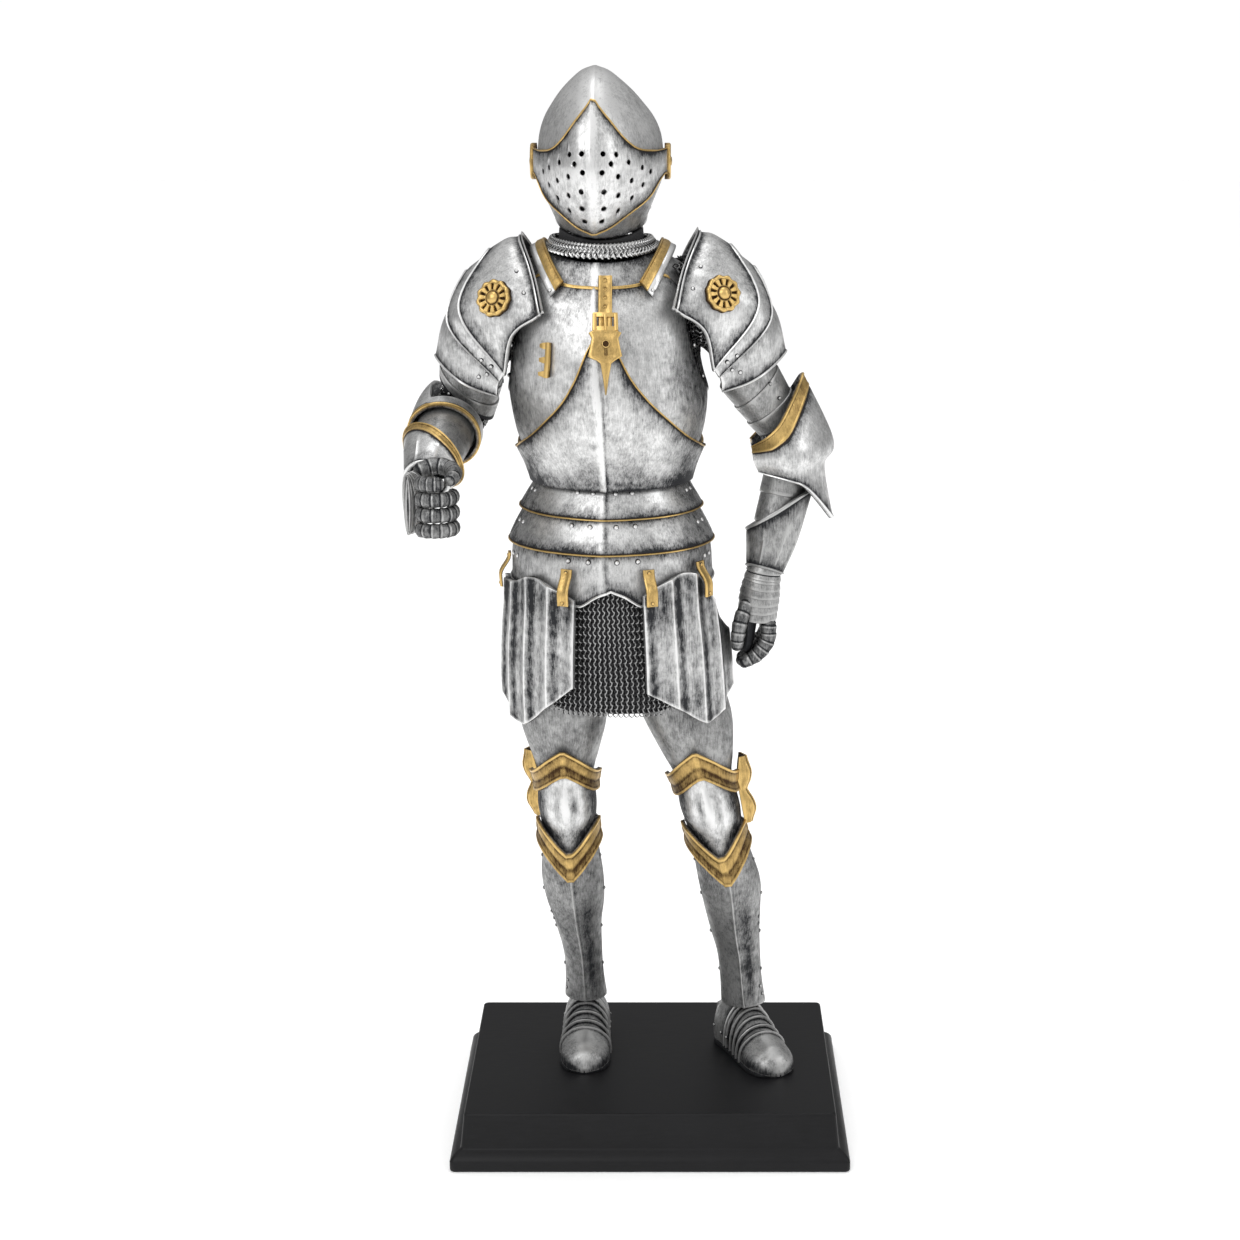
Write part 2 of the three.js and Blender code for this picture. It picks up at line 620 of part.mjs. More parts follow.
const ARMS = {
  right: {
    upper: [
      { x: -50.5, y: 0, z: 256, wide: 9.4, front: 9.2, back: 9.2 },
      { x: -52.3, y: 2.4, z: 246, wide: 9.8, front: 9.4, back: 9.4 },
      { x: -54.9, y: 6, z: 235, wide: 9.9, front: 9.6, back: 9.6 },
      { x: -57.2, y: 9.5, z: 224, wide: 9.6, front: 9.4, back: 9.4 },
    ],
    upperTop: (angle) => 1.1 + 0.15 * sin(degToRad(angle)),
    upperFoot: (angle) => 2.3 + 0.45 * sin(degToRad(angle)),
    fore: [
      { x: -58.6, y: 22, z: 230, wide: 5, front: 5, back: 6 },
      { x: -59.6, y: 13, z: 227.3, wide: 9.4, front: 9, back: 9.6 },
      { x: -61.2, y: -2.5, z: 223.2, wide: 9.8, front: 9.6, back: 9.4 },
      { x: -63, y: -17, z: 217.8, wide: 8.4, front: 8.2, back: 8 },
      { x: -64.8, y: -30.5, z: 212.6, wide: 6, front: 5.8, back: 5.8 },
    ],
    foreTop: vec(0, 0.3, 1),
    vambrace: { top: 2.05, bottom: 3.2 },
    cuffTop: (angle) => 3 + 0.45 * sin(degToRad(angle)),
  },
  left: {
    upper: [
      { x: 21, y: 0, z: 254, wide: 9.4, front: 9.2, back: 9.2 },
      { x: 28.6, y: 1.5, z: 240.5, wide: 9.2, front: 9, back: 9 },
      { x: 35, y: 3, z: 231, wide: 8.6, front: 8.4, back: 8.4 },
      { x: 41, y: 4.2, z: 222, wide: 7.9, front: 7.8, back: 7.8 },
    ],
    upperTop: (angle) => 0.85 - 0.2 * sin(degToRad(angle)),
    upperFoot: () => 2.85,
    fore: [
      { x: 43.2, y: 4.4, z: 217, wide: 8, front: 7.8, back: 7.8 },
      { x: 41.2, y: 3.2, z: 206, wide: 7.6, front: 7.4, back: 7.4 },
      { x: 37.6, y: 0, z: 190, wide: 6.9, front: 6.4, back: 6.4 },
      { x: 35, y: -3, z: 179.6, wide: 5, front: 4.8, back: 4.8 },
    ],
    foreTop: vec(0, -1, 0),
    vambrace: { top: 0.3, bottom: 2.3 },
    cuffTop: (angle) => 1.48 - 0.48 * sin(degToRad(angle)),
  },
};

// The left couter stands out in a fan round the straight elbow, with three points.
const leftCouter = loops([
  { end: [31.5, -3, 217.5], mid: [38.4, -8.6, 225.3], out: [45.4, 3, 239] },
  { end: [31.4, -5, 214.6], mid: [43.4, -9.6, 217], out: [55, 4.4, 218.6] },
  { end: [32.2, -5.2, 212.4], mid: [43.6, -8.8, 211.6], out: [52.4, 4.4, 210.8] },
  { end: [33.2, -5, 210.8], mid: [45.2, -7.6, 207], out: [55.2, 4.4, 194] },
]);

function arms() {
  for (const [side, arm] of Object.entries(ARMS)) {
    const upper = limb(arm.upper);
    const fore = limb(arm.fore, arm.foreTop);
    add(`rerebrace_${side}`, plate(upper, {
      top: arm.upperTop, bottom: arm.upperFoot, across: 14, along: 2,
    }), STEEL);
    add(`vambrace_${side}`, plate(fore, { ...arm.vambrace, lift: -0.7, across: 12, along: 2 }), STEEL);
    const flared = (down) => 0.75 + (side === "right" ? 1.5 : 0.7) * (1 - down) ** 2;
    const end = arm.fore.length - 1;
    add(`gauntlet_cuff_${side}`, plate(fore, {
      top: arm.cuffTop, bottom: end, lift: flared, across: 12, along: 2,
    }), STEEL);
  }
  // The bent right elbow: a cop round the outside and back, open above where the arm comes in
  const mouth = 2.3;
  const outside = -128;
  const fromOutside = (angle) => abs(((angle - outside + 540) % 360) - 180);
  const hood = (angle) => mouth - 0.3 - 1.8 * (1 - smoothstep(fromOutside(angle), 75, 112));
  add("couter_right", plate(limb(ARMS.right.fore, ARMS.right.foreTop), {
    top: hood, bottom: mouth, lift: STEP + 0.2, across: 18, along: 3,
  }), STEEL);
  const fan = plate(leftCouter, { from: -90, to: 90, top: 0, bottom: 3, across: 12, along: 4 });
  add("couter_left", fan, STEEL);
}

// A solid rod of round sections through rows of [x, y, z, half-width, half-depth]: a finger or a
// thumb. The depth is measured ahead.
function rod(rows, ahead = vec(0.2, -1, 0.1), sides = 6) {
  const sections = rows.map(([x, y, z, wide, deep]) => ({ x, y, z, wide, front: deep, back: deep }));
  const surface = limb(sections, ahead);
  const ring = (n) => Array.from({ length: sides }, (_, k) => surface(n, ((k + 0.5) / sides) * 360));
  const rings = rows.map((_, n) => ring(n));
  const triangles = [];
  const quad = (a, b, c, d) => triangles.push([a, b, c], [a, c, d]);
  for (let i = 0; i < rings.length - 1; i++)
    for (let k = 0; k < sides; k++) {
      const next = (k + 1) % sides;
      quad(rings[i][k], rings[i + 1][k], rings[i + 1][next], rings[i][next]);
    }
  const [first, last] = [rings[0], rings.at(-1)];
  for (let k = 1; k < sides - 1; k++) {
    triangles.push([first[0], first[k], first[k + 1]]);
    triangles.push([last[0], last[k + 1], last[k]]);
  }
  return solidFrom(triangles);
}

// The right hand closes round an upright grip, which is empty here.
const GRIP = { x: -61.2, y: -42, top: 214.8, clear: 3.7, outer: 7, pitch: 4.5 };

function gripFinger(row, fromDegrees, toDegrees) {
  const middle = (GRIP.clear + GRIP.outer) / 2;
  const steps = 5;
  const rows = Array.from({ length: steps + 1 }, (_, i) => {
    const a = degToRad(lerp(fromDegrees, toDegrees, i / steps));
    const [x, y] = [GRIP.x + middle * cos(a), GRIP.y + middle * sin(a)];
    return [x, y, GRIP.top - row * GRIP.pitch, (GRIP.outer - GRIP.clear) / 2, GRIP.pitch * 0.58];
  });
  return rod(rows, vec(0, 0, 1));
}

function rightHand() {
  const back = limb([
    { x: -65, y: -31.2, z: 212.2, wide: 5, front: 5.4, back: 5.6 },
    { x: -67, y: -36, z: 210, wide: 3.6, front: 7.6, back: 8.4 },
    { x: -68.6, y: -40.5, z: 208.6, wide: 2.6, front: 9, back: 9.6 },
    { x: -69.4, y: -44, z: 208.3, wide: 1.6, front: 8.6, back: 9.2 },
  ], vec(0, 0.2, 1));
  const thumb = rod([
    [-66.4, -36.6, 216.8, 2.2, 2.2], [-62, -35.4, 218, 2.5, 2.5], [-57.4, -36.6, 217.8, 2.5, 2.5],
    [-55.2, -40.8, 216.8, 2.3, 2.3], [-56.6, -45.2, 215.6, 1.9, 1.9],
  ]);
  const shell = plate(back, { top: 0.25, bottom: 3, across: 12, along: 3 });
  add("gauntlet_hand_right", joined(shell, thumb), STEEL);
  const spans = [[214, 290], [214, 385], [214, 385], [214, 380]];
  add("gauntlet_fingers_right", joined(...spans.map((span, row) => gripFinger(row, ...span))), STEEL);
}

function leftHand() {
  const back = limb([
    { x: 34.8, y: -3.2, z: 179.2, wide: 5, front: 4.8, back: 4.8 },
    { x: 33.7, y: -2.6, z: 172, wide: 6.2, front: 6.4, back: 6.8 },
    { x: 33, y: -1.8, z: 164.6, wide: 6, front: 7.6, back: 8 },
  ]);
  const thumb = rod([
    [29.8, -6.4, 170, 2, 2], [27.8, -8.6, 165.4, 2.2, 2.2],
    [26.9, -9.4, 160.6, 2.1, 2.1], [26.6, -9.2, 156.6, 1.7, 1.7],
  ]);
  const shell = plate(back, { top: 0.3, bottom: 1.95, across: 12, along: 2 });
  add("gauntlet_hand_left", joined(shell, thumb), STEEL);
  const reach = [0, 0.8, 0.5, -0.8];
  const fingers = reach.map((more, n) => {
    const y = -7 + 4.1 * n;
    return rod([
      [36.4, y, 163.2, 2.3, 2.4], [36, y - 0.2, 158.4, 2.3, 2.4],
      [33, y - 0.4, 154 - more / 2, 2.2, 2.3], [28.6 - more, y - 0.6, 151.2 - more / 2, 1.7, 2.2],
    ]);
  });
  add("gauntlet_fingers_left", joined(...fingers), STEEL);
}

// Mail sleeves close the armpits: tubes from inside the armholes into the upper arms.
const SLEEVES = {
  right: [
    { x: -33.5, y: -0.3, z: 255, wide: 6.4, front: 9.2, back: 7.9 },
    { x: -41, y: -0.3, z: 254.2, wide: 7, front: 9.2, back: 7.9 },
    { x: -47.6, y: 0.4, z: 251.6, wide: 7.4, front: 9, back: 9 },
    { x: -51.8, y: 1.8, z: 247, wide: 7.4, front: 8, back: 8 },
    { x: -53.4, y: 3.6, z: 241, wide: 7.4, front: 7.6, back: 7.6 },
  ],
  left: [
    { x: 10.1, y: -0.3, z: 256, wide: 6.4, front: 9.2, back: 7.9 },
    { x: 17.6, y: -0.3, z: 255, wide: 7, front: 9.2, back: 7.9 },
    { x: 23, y: 0.2, z: 251.4, wide: 7.2, front: 8.6, back: 8.6 },
    { x: 26.6, y: 1, z: 245.6, wide: 7, front: 7.4, back: 7.4 },
    { x: 29.6, y: 1.6, z: 240, wide: 6.8, front: 7, back: 7 },
  ],
};

function mailSleeves() {
  for (const [side, rows] of Object.entries(SLEEVES)) {
    const tube = plate(limb(rows), { top: 0, bottom: 4, wall: MAIL_WALL, across: 12, along: 4 });
    add(`mail_sleeve_${side}`, tube, MAIL);
  }
}

// ---------------------------------------------------------------- legs

const LEGS = {
  right: form([
    { z: 162, x: -26.8, y: 0.5, wide: 12.4, front: 14.2, back: 14.2 },
    { z: 148, x: -27, y: 0, wide: 13.9, front: 14.6, back: 14 },
    { z: 131, x: -27, y: -0.5, wide: 13.3, front: 14, back: 13, keel: 0.3 },
    { z: 122, x: -26.7, y: -0.5, wide: 10.8, front: 12.6, back: 11.4, keel: 0.4 },
    { z: 115, x: -26.4, y: -0.5, wide: 8.7, front: 11.4, back: 10.2, keel: 0.4 },
    { z: 106, x: -26.1, y: -0.6, wide: 7.9, front: 10.6, back: 9.2, keel: 0.4 },
    { z: 96, x: -25.6, y: 0, wide: 7.9, front: 9.8, back: 9.2, keel: 0.4 },
    { z: 87, x: -25.2, y: 1.5, wide: 9.1, front: 9.4, back: 10, keel: 0.6 },
    { z: 78, x: -24.8, y: 3.5, wide: 9.8, front: 9.4, back: 10.8, keel: 0.8 },
    { z: 70, x: -24.1, y: 5, wide: 9.2, front: 8.9, back: 10.6, keel: 0.8 },
    { z: 62, x: -23.4, y: 6.8, wide: 7.6, front: 8, back: 9.6, keel: 0.8 },
    { z: 50, x: -22, y: 9, wide: 6.2, front: 6.8, back: 7.8, keel: 0.8 },
    { z: 42, x: -21.6, y: 10.6, wide: 6.2, front: 6.6, back: 7.2, keel: 0.6 },
    { z: 33, x: -21.2, y: 12.2, wide: 6.9, front: 7, back: 7.2, keel: 0.4 },
  ]),
  left: form([
    { z: 162, x: 3.4, y: -0.5, wide: 12.4, front: 14.2, back: 14.2 },
    { z: 148, x: 6.9, y: -1, wide: 13.7, front: 14.4, back: 14 },
    { z: 134, x: 11.3, y: -2, wide: 14, front: 14.3, back: 13.2, keel: 0.3 },
    { z: 122, x: 14.6, y: -2.8, wide: 11.2, front: 12.8, back: 11.6, keel: 0.4 },
    { z: 114, x: 16.6, y: -3.4, wide: 8.7, front: 11.6, back: 10.4, keel: 0.4 },
    { z: 105, x: 18.6, y: -3.8, wide: 8, front: 10.8, back: 9.2, keel: 0.4 },
    { z: 96, x: 20.6, y: -3.3, wide: 8, front: 10, back: 9.2, keel: 0.4 },
    { z: 88, x: 22.7, y: -2.3, wide: 9.1, front: 9.6, back: 10, keel: 0.6 },
    { z: 78, x: 25, y: -0.8, wide: 9.8, front: 9.5, back: 10.8, keel: 0.8 },
    { z: 68, x: 26.1, y: 1, wide: 8.8, front: 8.8, back: 10.4, keel: 0.8 },
    { z: 60, x: 27, y: 2.6, wide: 7.8, front: 8, back: 9.4, keel: 0.8 },
    { z: 52, x: 28.2, y: 4, wide: 6.9, front: 7, back: 8, keel: 0.8 },
    { z: 43, x: 29, y: 5.4, wide: 6.7, front: 6.7, back: 7.2, keel: 0.6 },
    { z: 33, x: 30, y: 6.8, wide: 7.2, front: 7, back: 7.2, keel: 0.4 },
  ]),
};
const FEET = {
  right: { ankle: vec(-21.1, 13, 0), turn: 0 },
  left: { ankle: vec(29.6, 7.8, 0), turn: 25 },
};

// The foot, lying along +Y' from the heel: rows by distance behind the toe's tip.
const FOOT = [
  { d: 0, wide: 0.6, top: 1.4 },
  { d: 1.2, wide: 4, top: 4.4 },
  { d: 4.5, wide: 7, top: 6.8 },
  { d: 9, wide: 8.2, top: 8.2 },
  { d: 15, wide: 8, top: 10.6 },
  { d: 21, wide: 7.4, top: 14.6 },
  { d: 27.5, wide: 7.4, top: 15.6 },
  { d: 34, wide: 7, top: 15 },
  { d: 36.6, wide: 4.6, top: 14 },
  { d: 37.6, wide: 0.8, top: 12.6 },
];
const TOE_REACH = 27.6; // from the ankle's middle to the toe's tip

function footBody(shrink, sole) {
  const at = Object.fromEntries(["wide", "top"].map((key) => [key, curve(FOOT, key, "d")]));
  const length = FOOT.at(-1).d;
  const sides = 10;
  const stations = [0, 0.8, 4, 9, 15, 21, 28, 34, 36.8, length];
  const rings = stations.map((d) => {
    const y = shrink + (d / length) * (length - 2 * shrink);
    const wide = max(0.05, at.wide(d) - shrink);
    const top = max(sole + 0.3, at.top(d) - shrink);
    return Array.from({ length: sides }, (_, k) => {
      const a = (k / sides) * 2 * Math.PI;
      const up = cos(a);
      const height = up > -0.25 ? (up + 0.25) / 1.25 : 0;
      const half = wide * abs(sin(a)) ** 0.8 * sign(sin(a));
      return vec(half, y, lerp(sole, top, height ** 0.85));
    });
  });
  const triangles = [];
  for (let i = 0; i < rings.length - 1; i++)
    for (let k = 0; k < sides; k++) {
      const n = (k + 1) % sides;
      triangles.push([rings[i][k], rings[i][n], rings[i + 1][n]]);
      triangles.push([rings[i][k], rings[i + 1][n], rings[i + 1][k]]);
    }
  for (const [ring, flip] of [[rings[0], true], [rings.at(-1), false]])
    for (let k = 1; k < sides - 1; k++)
      triangles.push(flip ? [ring[0], ring[k + 1], ring[k]] : [ring[0], ring[k], ring[k + 1]]);
  return solidFrom(triangles);
}

function legs() {
  for (const [side, leg] of Object.entries(LEGS)) {
    const cuisseTop = (a) => 160 - 4 * max(0, cos(degToRad(a)));
    const cuisseFoot = evenCurve([[0, 118.6], [60, 116], [110, 108], [180, 106.5]]);
    add(`cuisse_${side}`, plate(leg, { top: cuisseTop, bottom: cuisseFoot, across: 14, along: 3 }), STEEL);
    const greaveTop = evenCurve([[0, 93], [60, 98], [110, 103], [180, 104.5]]);
    add(`greave_${side}`, plate(leg, { top: greaveTop, bottom: 34, across: 14, along: 5 }), STEEL);
    const copTop = evenCurve([[0, 119.5], [60, 115], [100, 112]]);
    const copFoot = evenCurve([[0, 88.5], [60, 94.5], [100, 97]]);
    const cop = (down, angle) => STEP + 0.15 + 1.1 * cos(degToRad(angle * 0.8)) * sin(Math.PI * down) ** 3;
    add(`poleyn_${side}`, plate(leg, {
      from: -100, to: 100, top: copTop, bottom: copFoot, lift: cop, across: 14, along: 6,
    }), STEEL);
    const band = { from: -80, to: 80, lift: 2 * STEP + 0.75, across: 10, along: 1 };
    const upperPeak = evenCurve([[0, 126.2], [50, 118.4], [80, 116.6]]);
    const upperFoot = (a) => upperPeak(a) - lerp(9, 7, abs(a) / 80);
    add(`poleyn_upper_${side}`, plate(leg, { ...band, top: upperPeak, bottom: upperFoot }), BRASS);
    const lowerPoint = evenCurve([[0, 81], [50, 90.6], [80, 93.2]]);
    const lowerTop = (a) => lowerPoint(a) + lerp(9.8, 7, abs(a) / 80);
    add(`poleyn_lower_${side}`, plate(leg, { ...band, top: lowerTop, bottom: lowerPoint }), BRASS);
    const { ankle, turn } = FEET[side];
    const place = (geometry) =>
      geometry.translate(0, -TOE_REACH, FLOOR).rotateZ(degToRad(turn)).translate(ankle.x, ankle.y, 0);
    const ankleHole = new THREE.CylinderGeometry(5.4, 5.4, 20, 10).rotateX(Math.PI / 2);
    ankleHole.translate(0, TOE_REACH, 20);
    add(`sabaton_${side}`, place(cut(footBody(0, 0), footBody(WALL, WALL), ankleHole)), STEEL);
  }
}

plinth();
helmet();
torsoPlates();
fauldPlates();
tassets();
breastFittings();
shoulderStraps();
pauldrons();
mailSleeves();
arms();
rightHand();
leftHand();
legs();

export default suit;
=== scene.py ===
"""The looks of a miniature suit of plate armour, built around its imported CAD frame.

The tables below are in millimetres and degrees, as in the CAD: +Z up, the suit faces -Y, and right
and left are the wearer's. Every plate is cut from a smooth surface, a function of how far along the
body or limb and how far across it. Meshes are turned into metres when they are made.
"""
import math

import bpy
import numpy as np
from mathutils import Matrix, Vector


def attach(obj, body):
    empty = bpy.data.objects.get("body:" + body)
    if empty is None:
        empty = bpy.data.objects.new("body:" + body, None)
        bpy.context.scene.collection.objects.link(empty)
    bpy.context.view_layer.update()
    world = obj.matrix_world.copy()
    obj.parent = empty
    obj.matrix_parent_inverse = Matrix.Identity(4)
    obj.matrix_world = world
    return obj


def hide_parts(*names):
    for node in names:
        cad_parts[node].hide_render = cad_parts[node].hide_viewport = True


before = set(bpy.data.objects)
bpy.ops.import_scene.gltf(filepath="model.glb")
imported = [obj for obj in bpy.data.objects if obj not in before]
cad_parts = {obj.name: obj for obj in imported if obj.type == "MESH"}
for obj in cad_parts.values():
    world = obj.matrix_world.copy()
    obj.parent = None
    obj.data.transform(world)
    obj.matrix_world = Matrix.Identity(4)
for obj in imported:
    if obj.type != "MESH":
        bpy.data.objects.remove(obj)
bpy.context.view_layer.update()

MM = 0.001
WALL = 1.0  # thickness of a plate
GAP = 0.3  # clearance between neighbouring plates
STEP = WALL + GAP  # how far out a plate lies that overlaps another
MIRROR_X = -11.7  # the middle plane between the two shoulders
LEFT_SHOULDER_RAISED = 1.3  # how much higher the left shoulder stands
COLLAR_X = -13.7  # the middle plane of the neck and breast
BODY_TURN = -4  # the body's ridge lies this many degrees to the wearer's right
KEEL_SPREAD = 26  # degrees on either side of a keel over which it fades
RING_LEAN, RING_TIP = 34, 14  # how far a mail ring leans sideways and tips down, in degrees

# What a point of a surface shows: how gilt, how darkened by patina and painted shade, how brightened by worn
# edges and painted highlights
BARE = (0, 0, 0)
GILT = (1, 0, 0)
DARK = (0, 1, 0)
BRIGHT = (0, 0, 1)
# DUSK darkens a little, as painted shade
DUSK = (0, 0.35, 0)

# Edge profiles from the edge inwards: distance, height, and what the points show.
# The bright tops of edges and beads are worn metal with painted highlights; the dark bands of SHADED,
# UNDER and DUSKY, and those just inside BEAD and PIPED, are painted shade along edges next to and
# under other plates, with patina in the grooves.
PLAIN = [(0, -0.2, 0, 0, 0.5), (0.12, -0.04, 0, 0, 1), (0.4, 0, 0, 0, 0.5), (1.0, 0, 0, 0, 0)]
SHADED = [*PLAIN[:3], (1.0, 0, 0, 0.5, 0), (2.0, 0, 0, 0.35, 0), (4, 0, 0, 0, 0)]
UNDER = [(0, 0, 0, 1, 0), (0.5, 0, 0, 1, 0), (1.4, 0, 0, 0.6, 0), (2.6, 0, 0, 0, 0)]
DUSKY = [(0, -0.3, 0, 1, 0), (0.3, 0, 0, 0.8, 0), (1.2, 0, 0, 0.55, 0), (3, 0, 0, 0.25, 0), (6, 0, 0, 0, 0)]
BEAD = [
    (0, -0.1, 0, 0, 0.4), (0.14, 0.3, 0, 0, 0.8), (0.4, 0.42, 0, 0, 1), (0.7, 0.26, 0, 0, 0.6),
    (0.9, -0.06, 0, 1, 0), (1.2, 0, 0, 0.75, 0), (2.2, 0, 0, 0.4, 0), (5, 0, 0, 0, 0),
]
PIPED = [
    (0, -0.1, 1, 0.3, 0), (0.12, 0.2, 1, 0, 0.4), (0.36, 0.24, 1, 0, 0.6), (0.52, 0.04, 1, 0.5, 0),
    (0.6, -0.1, 0.4, 1, 0), (0.8, -0.08, 0, 1, 0), (1.1, 0, 0, 0.7, 0), (2.2, 0, 0, 0.4, 0),
    (5, 0, 0, 0, 0),
]


def gilt_band(width, beyond=1.4):
    """A flat gilt band with raised borders painted bright as highlights, and a dark line of painted shade on
    its inner side.
    """
    return [
        (0, -0.15, 1, 0.3, 0), (0.14, 0.24, 1, 0, 0.5), (0.42, 0.24, 1, 0, 0.5), (0.56, 0.04, 1, 0.7, 0),
        (0.75, 0.02, 1, 0.15, 0), (width - 0.7, 0.04, 1, 0.1, 0), (width - 0.5, 0.2, 1, 0, 0.4),
        (width - 0.2, 0.18, 1, 0, 0.4), (width, -0.08, 0.6, 1, 0), (width + 0.25, -0.08, 0, 1, 0),
        (width + 0.6, 0, 0, 0.5, 0), (width + beyond, 0, 0, 0, 0),
    ]


# ---------------------------------------------------------------- curves and surfaces


def hermite(xs, ys):
    """A smooth curve through points, read at a number or an array."""
    order = np.argsort(xs)
    xs, ys = np.asarray(xs, float)[order], np.asarray(ys, float)[order]
    step = np.diff(ys) / np.diff(xs)
    slopes = np.concatenate([step[:1], (step[:-1] + step[1:]) / 2, step[-1:]])

    def read(at):
        x = np.clip(at, xs[0], xs[-1])
        i = np.clip(np.searchsorted(xs, x, side="right") - 1, 0, len(xs) - 2)
        h = xs[i + 1] - xs[i]
        t = (x - xs[i]) / h
        t2, t3 = t * t, t * t * t
        return (
            (2 * t3 - 3 * t2 + 1) * ys[i]
            + (t3 - 2 * t2 + t) * h * slopes[i]
            + (3 * t2 - 2 * t3) * ys[i + 1]
            + (t3 - t2) * h * slopes[i + 1]
        )

    return read


def even(*pairs):
    """The same on both sides of the middle: a curve through (angle, value) pairs."""
    read = hermite(*zip(*pairs))
    return lambda angle: read(np.abs(angle))


def uneven(*pairs):
    """A curve through (angle, value) pairs."""
    return hermite(*zip(*pairs))


def sin_deg(a):
    return np.sin(np.radians(a))


def cos_deg(a):
    return np.cos(np.radians(a))


def lerp(a, b, t):
    return a + (b - a) * t


def smooth(x, low, high):
    t = np.clip((x - low) / (high - low), 0, 1)
    return t * t * (3 - 2 * t)


def hump(x, at, width):
    """A bell curve, 1 at its middle."""
    return np.exp(-(((x - at) / width) ** 2))


def shown(gilt, wash_and_shade, rubbed_and_highlit):
    """What points show: how gilt, how darkened by patina and painted shade, how brightened by worn edges and
    painted highlights.
    """
    return np.stack(np.broadcast_arrays(np.asarray(gilt, float), wash_and_shade, rubbed_and_highlit), -1)


def unit(v):
    v = np.asarray(v, float)
    return v / np.linalg.norm(v, axis=-1, keepdims=True)


def form(rows, keel_at=0.0):
    """A surface of level sections: rows of (z, x, y, wide, front, back, keel), where the keel is a
    ridge down the front."""
    rows = [(*row, 0)[:7] for row in rows]
    z = [row[0] for row in rows]
    x, y, wide, front, back, keel = (hermite(z, [row[k] for row in rows]) for k in range(1, 7))

    def surface(z, angle):
        z, angle = np.broadcast_arrays(np.asarray(z, float), np.asarray(angle, float))
        s, c = sin_deg(angle), cos_deg(angle)
        turned = np.abs((angle - keel_at + 540) % 360 - 180)
        ridge = keel(z) * np.maximum(0, 1 - turned / KEEL_SPREAD) ** 1.5
        depth = np.where(c > 0, front(z), back(z))
        return np.stack([x(z) + wide(z) * s, y(z) - depth * c - ridge, z], -1)

    surface.up = 1
    return surface


def limb(rows, ahead=(0, -1, 0)):
    """A surface of sections square to a limb: rows of (x, y, z, wide, front, back)."""
    n = range(len(rows))
    reads = [hermite(n, [row[k] for row in rows]) for k in range(6)]
    last = len(rows) - 1.02
    ahead = np.asarray(ahead, float)

    def middle(n):
        return np.stack([read(n) for read in reads[:3]], -1)

    def surface(n, angle):
        n, angle = np.broadcast_arrays(np.asarray(n, float), np.asarray(angle, float))
        m = np.clip(n, 0.02, last)
        up = unit(middle(m - 0.02) - middle(m + 0.02))
        front = unit(ahead - up * (up @ ahead)[..., None])
        side = np.cross(up, front)
        s, c = sin_deg(angle), cos_deg(angle)
        depth = np.where(c > 0, reads[4](n), reads[5](n))
        return middle(n) + side * (reads[3](n) * s)[..., None] + front * (depth * c)[..., None]

    surface.up = -1
    surface.middle = middle
    return surface


def loops(rows):
    """A surface through loops of (end, mid, out): across is -90 at the front end, 0 outermost, and
    the back mirrors the front."""
    stations = []
    for end, mid, out in rows:
        back = [(x, 2 * out[1] - y, z) for x, y, z in (mid, end)]
        stations.append([end, mid, out, *back])
    stations = np.array(stations, float)
    across = [hermite([-90, -45, 0, 45, 90], row) for row in np.eye(5)]
    along = [[hermite(range(len(rows)), stations[:, j, k]) for k in range(3)] for j in range(5)]

    def surface(n, angle):
        n, angle = np.broadcast_arrays(np.asarray(n, float), np.asarray(angle, float))
        return sum(
            across[j](angle)[..., None] * np.stack([along[j][k](n) for k in range(3)], -1)
            for j in range(5)
        )

    surface.up = 1
    return surface


def mirrored(surface, raised):
    """The same surface on the other side of the body."""

    def other(along, across):
        return surface(along, across) * (-1, 1, 1) + (2 * MIRROR_X, 0, raised)

    other.up = -surface.up
    return other


def normals(surface, along, across):
    ahead = surface(along + 0.02, across) - surface(along - 0.02, across)
    aside = surface(along, across + 0.3) - surface(along, across - 0.3)
    return unit(np.cross(aside, ahead) * surface.up)


# ---------------------------------------------------------------- meshes


class Piece:
    """The points and faces of one piece, in millimetres."""

    def __init__(self, name, slot, replaced=None, body="suit"):
        self.name, self.slot, self.body = name, slot, body
        self.replaced = [name] if replaced is None else replaced
        self.points, self.tones, self.faces, self.count = [], [], [], 0

    def add(self, points, faces, tone=BARE):
        points = np.asarray(points, float).reshape(-1, 3)
        self.points.append(points)
        self.tones.append(np.broadcast_to(tone, points.shape))
        self.faces += [[i + self.count for i in face] for face in faces]
        self.count += len(points)

    def make(self, material, sharp=48):
        mesh = bpy.data.meshes.new(self.name)
        mesh.from_pydata((np.concatenate(self.points) * MM).tolist(), [], self.faces)
        tone = mesh.attributes.new("tone", "FLOAT_COLOR", "POINT")
        rgb = np.concatenate(self.tones)
        tone.data.foreach_set("color", np.column_stack([rgb, np.ones(len(rgb))]).astype(np.float32).ravel())
        mesh.polygons.foreach_set("use_smooth", np.ones(len(mesh.polygons), bool))
        mesh.set_sharp_from_angle(angle=math.radians(sharp))
        mesh.validate()
        mesh.materials.append(material)
        look = bpy.data.objects.new(self.name + "_look", mesh)
        bpy.context.scene.collection.objects.link(look)
        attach(look, self.body)
        if self.replaced:
            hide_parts(*self.replaced)
        return look


def fine_and_coarse(count, every):
    return sorted({*range(0, count, every), count - 1})


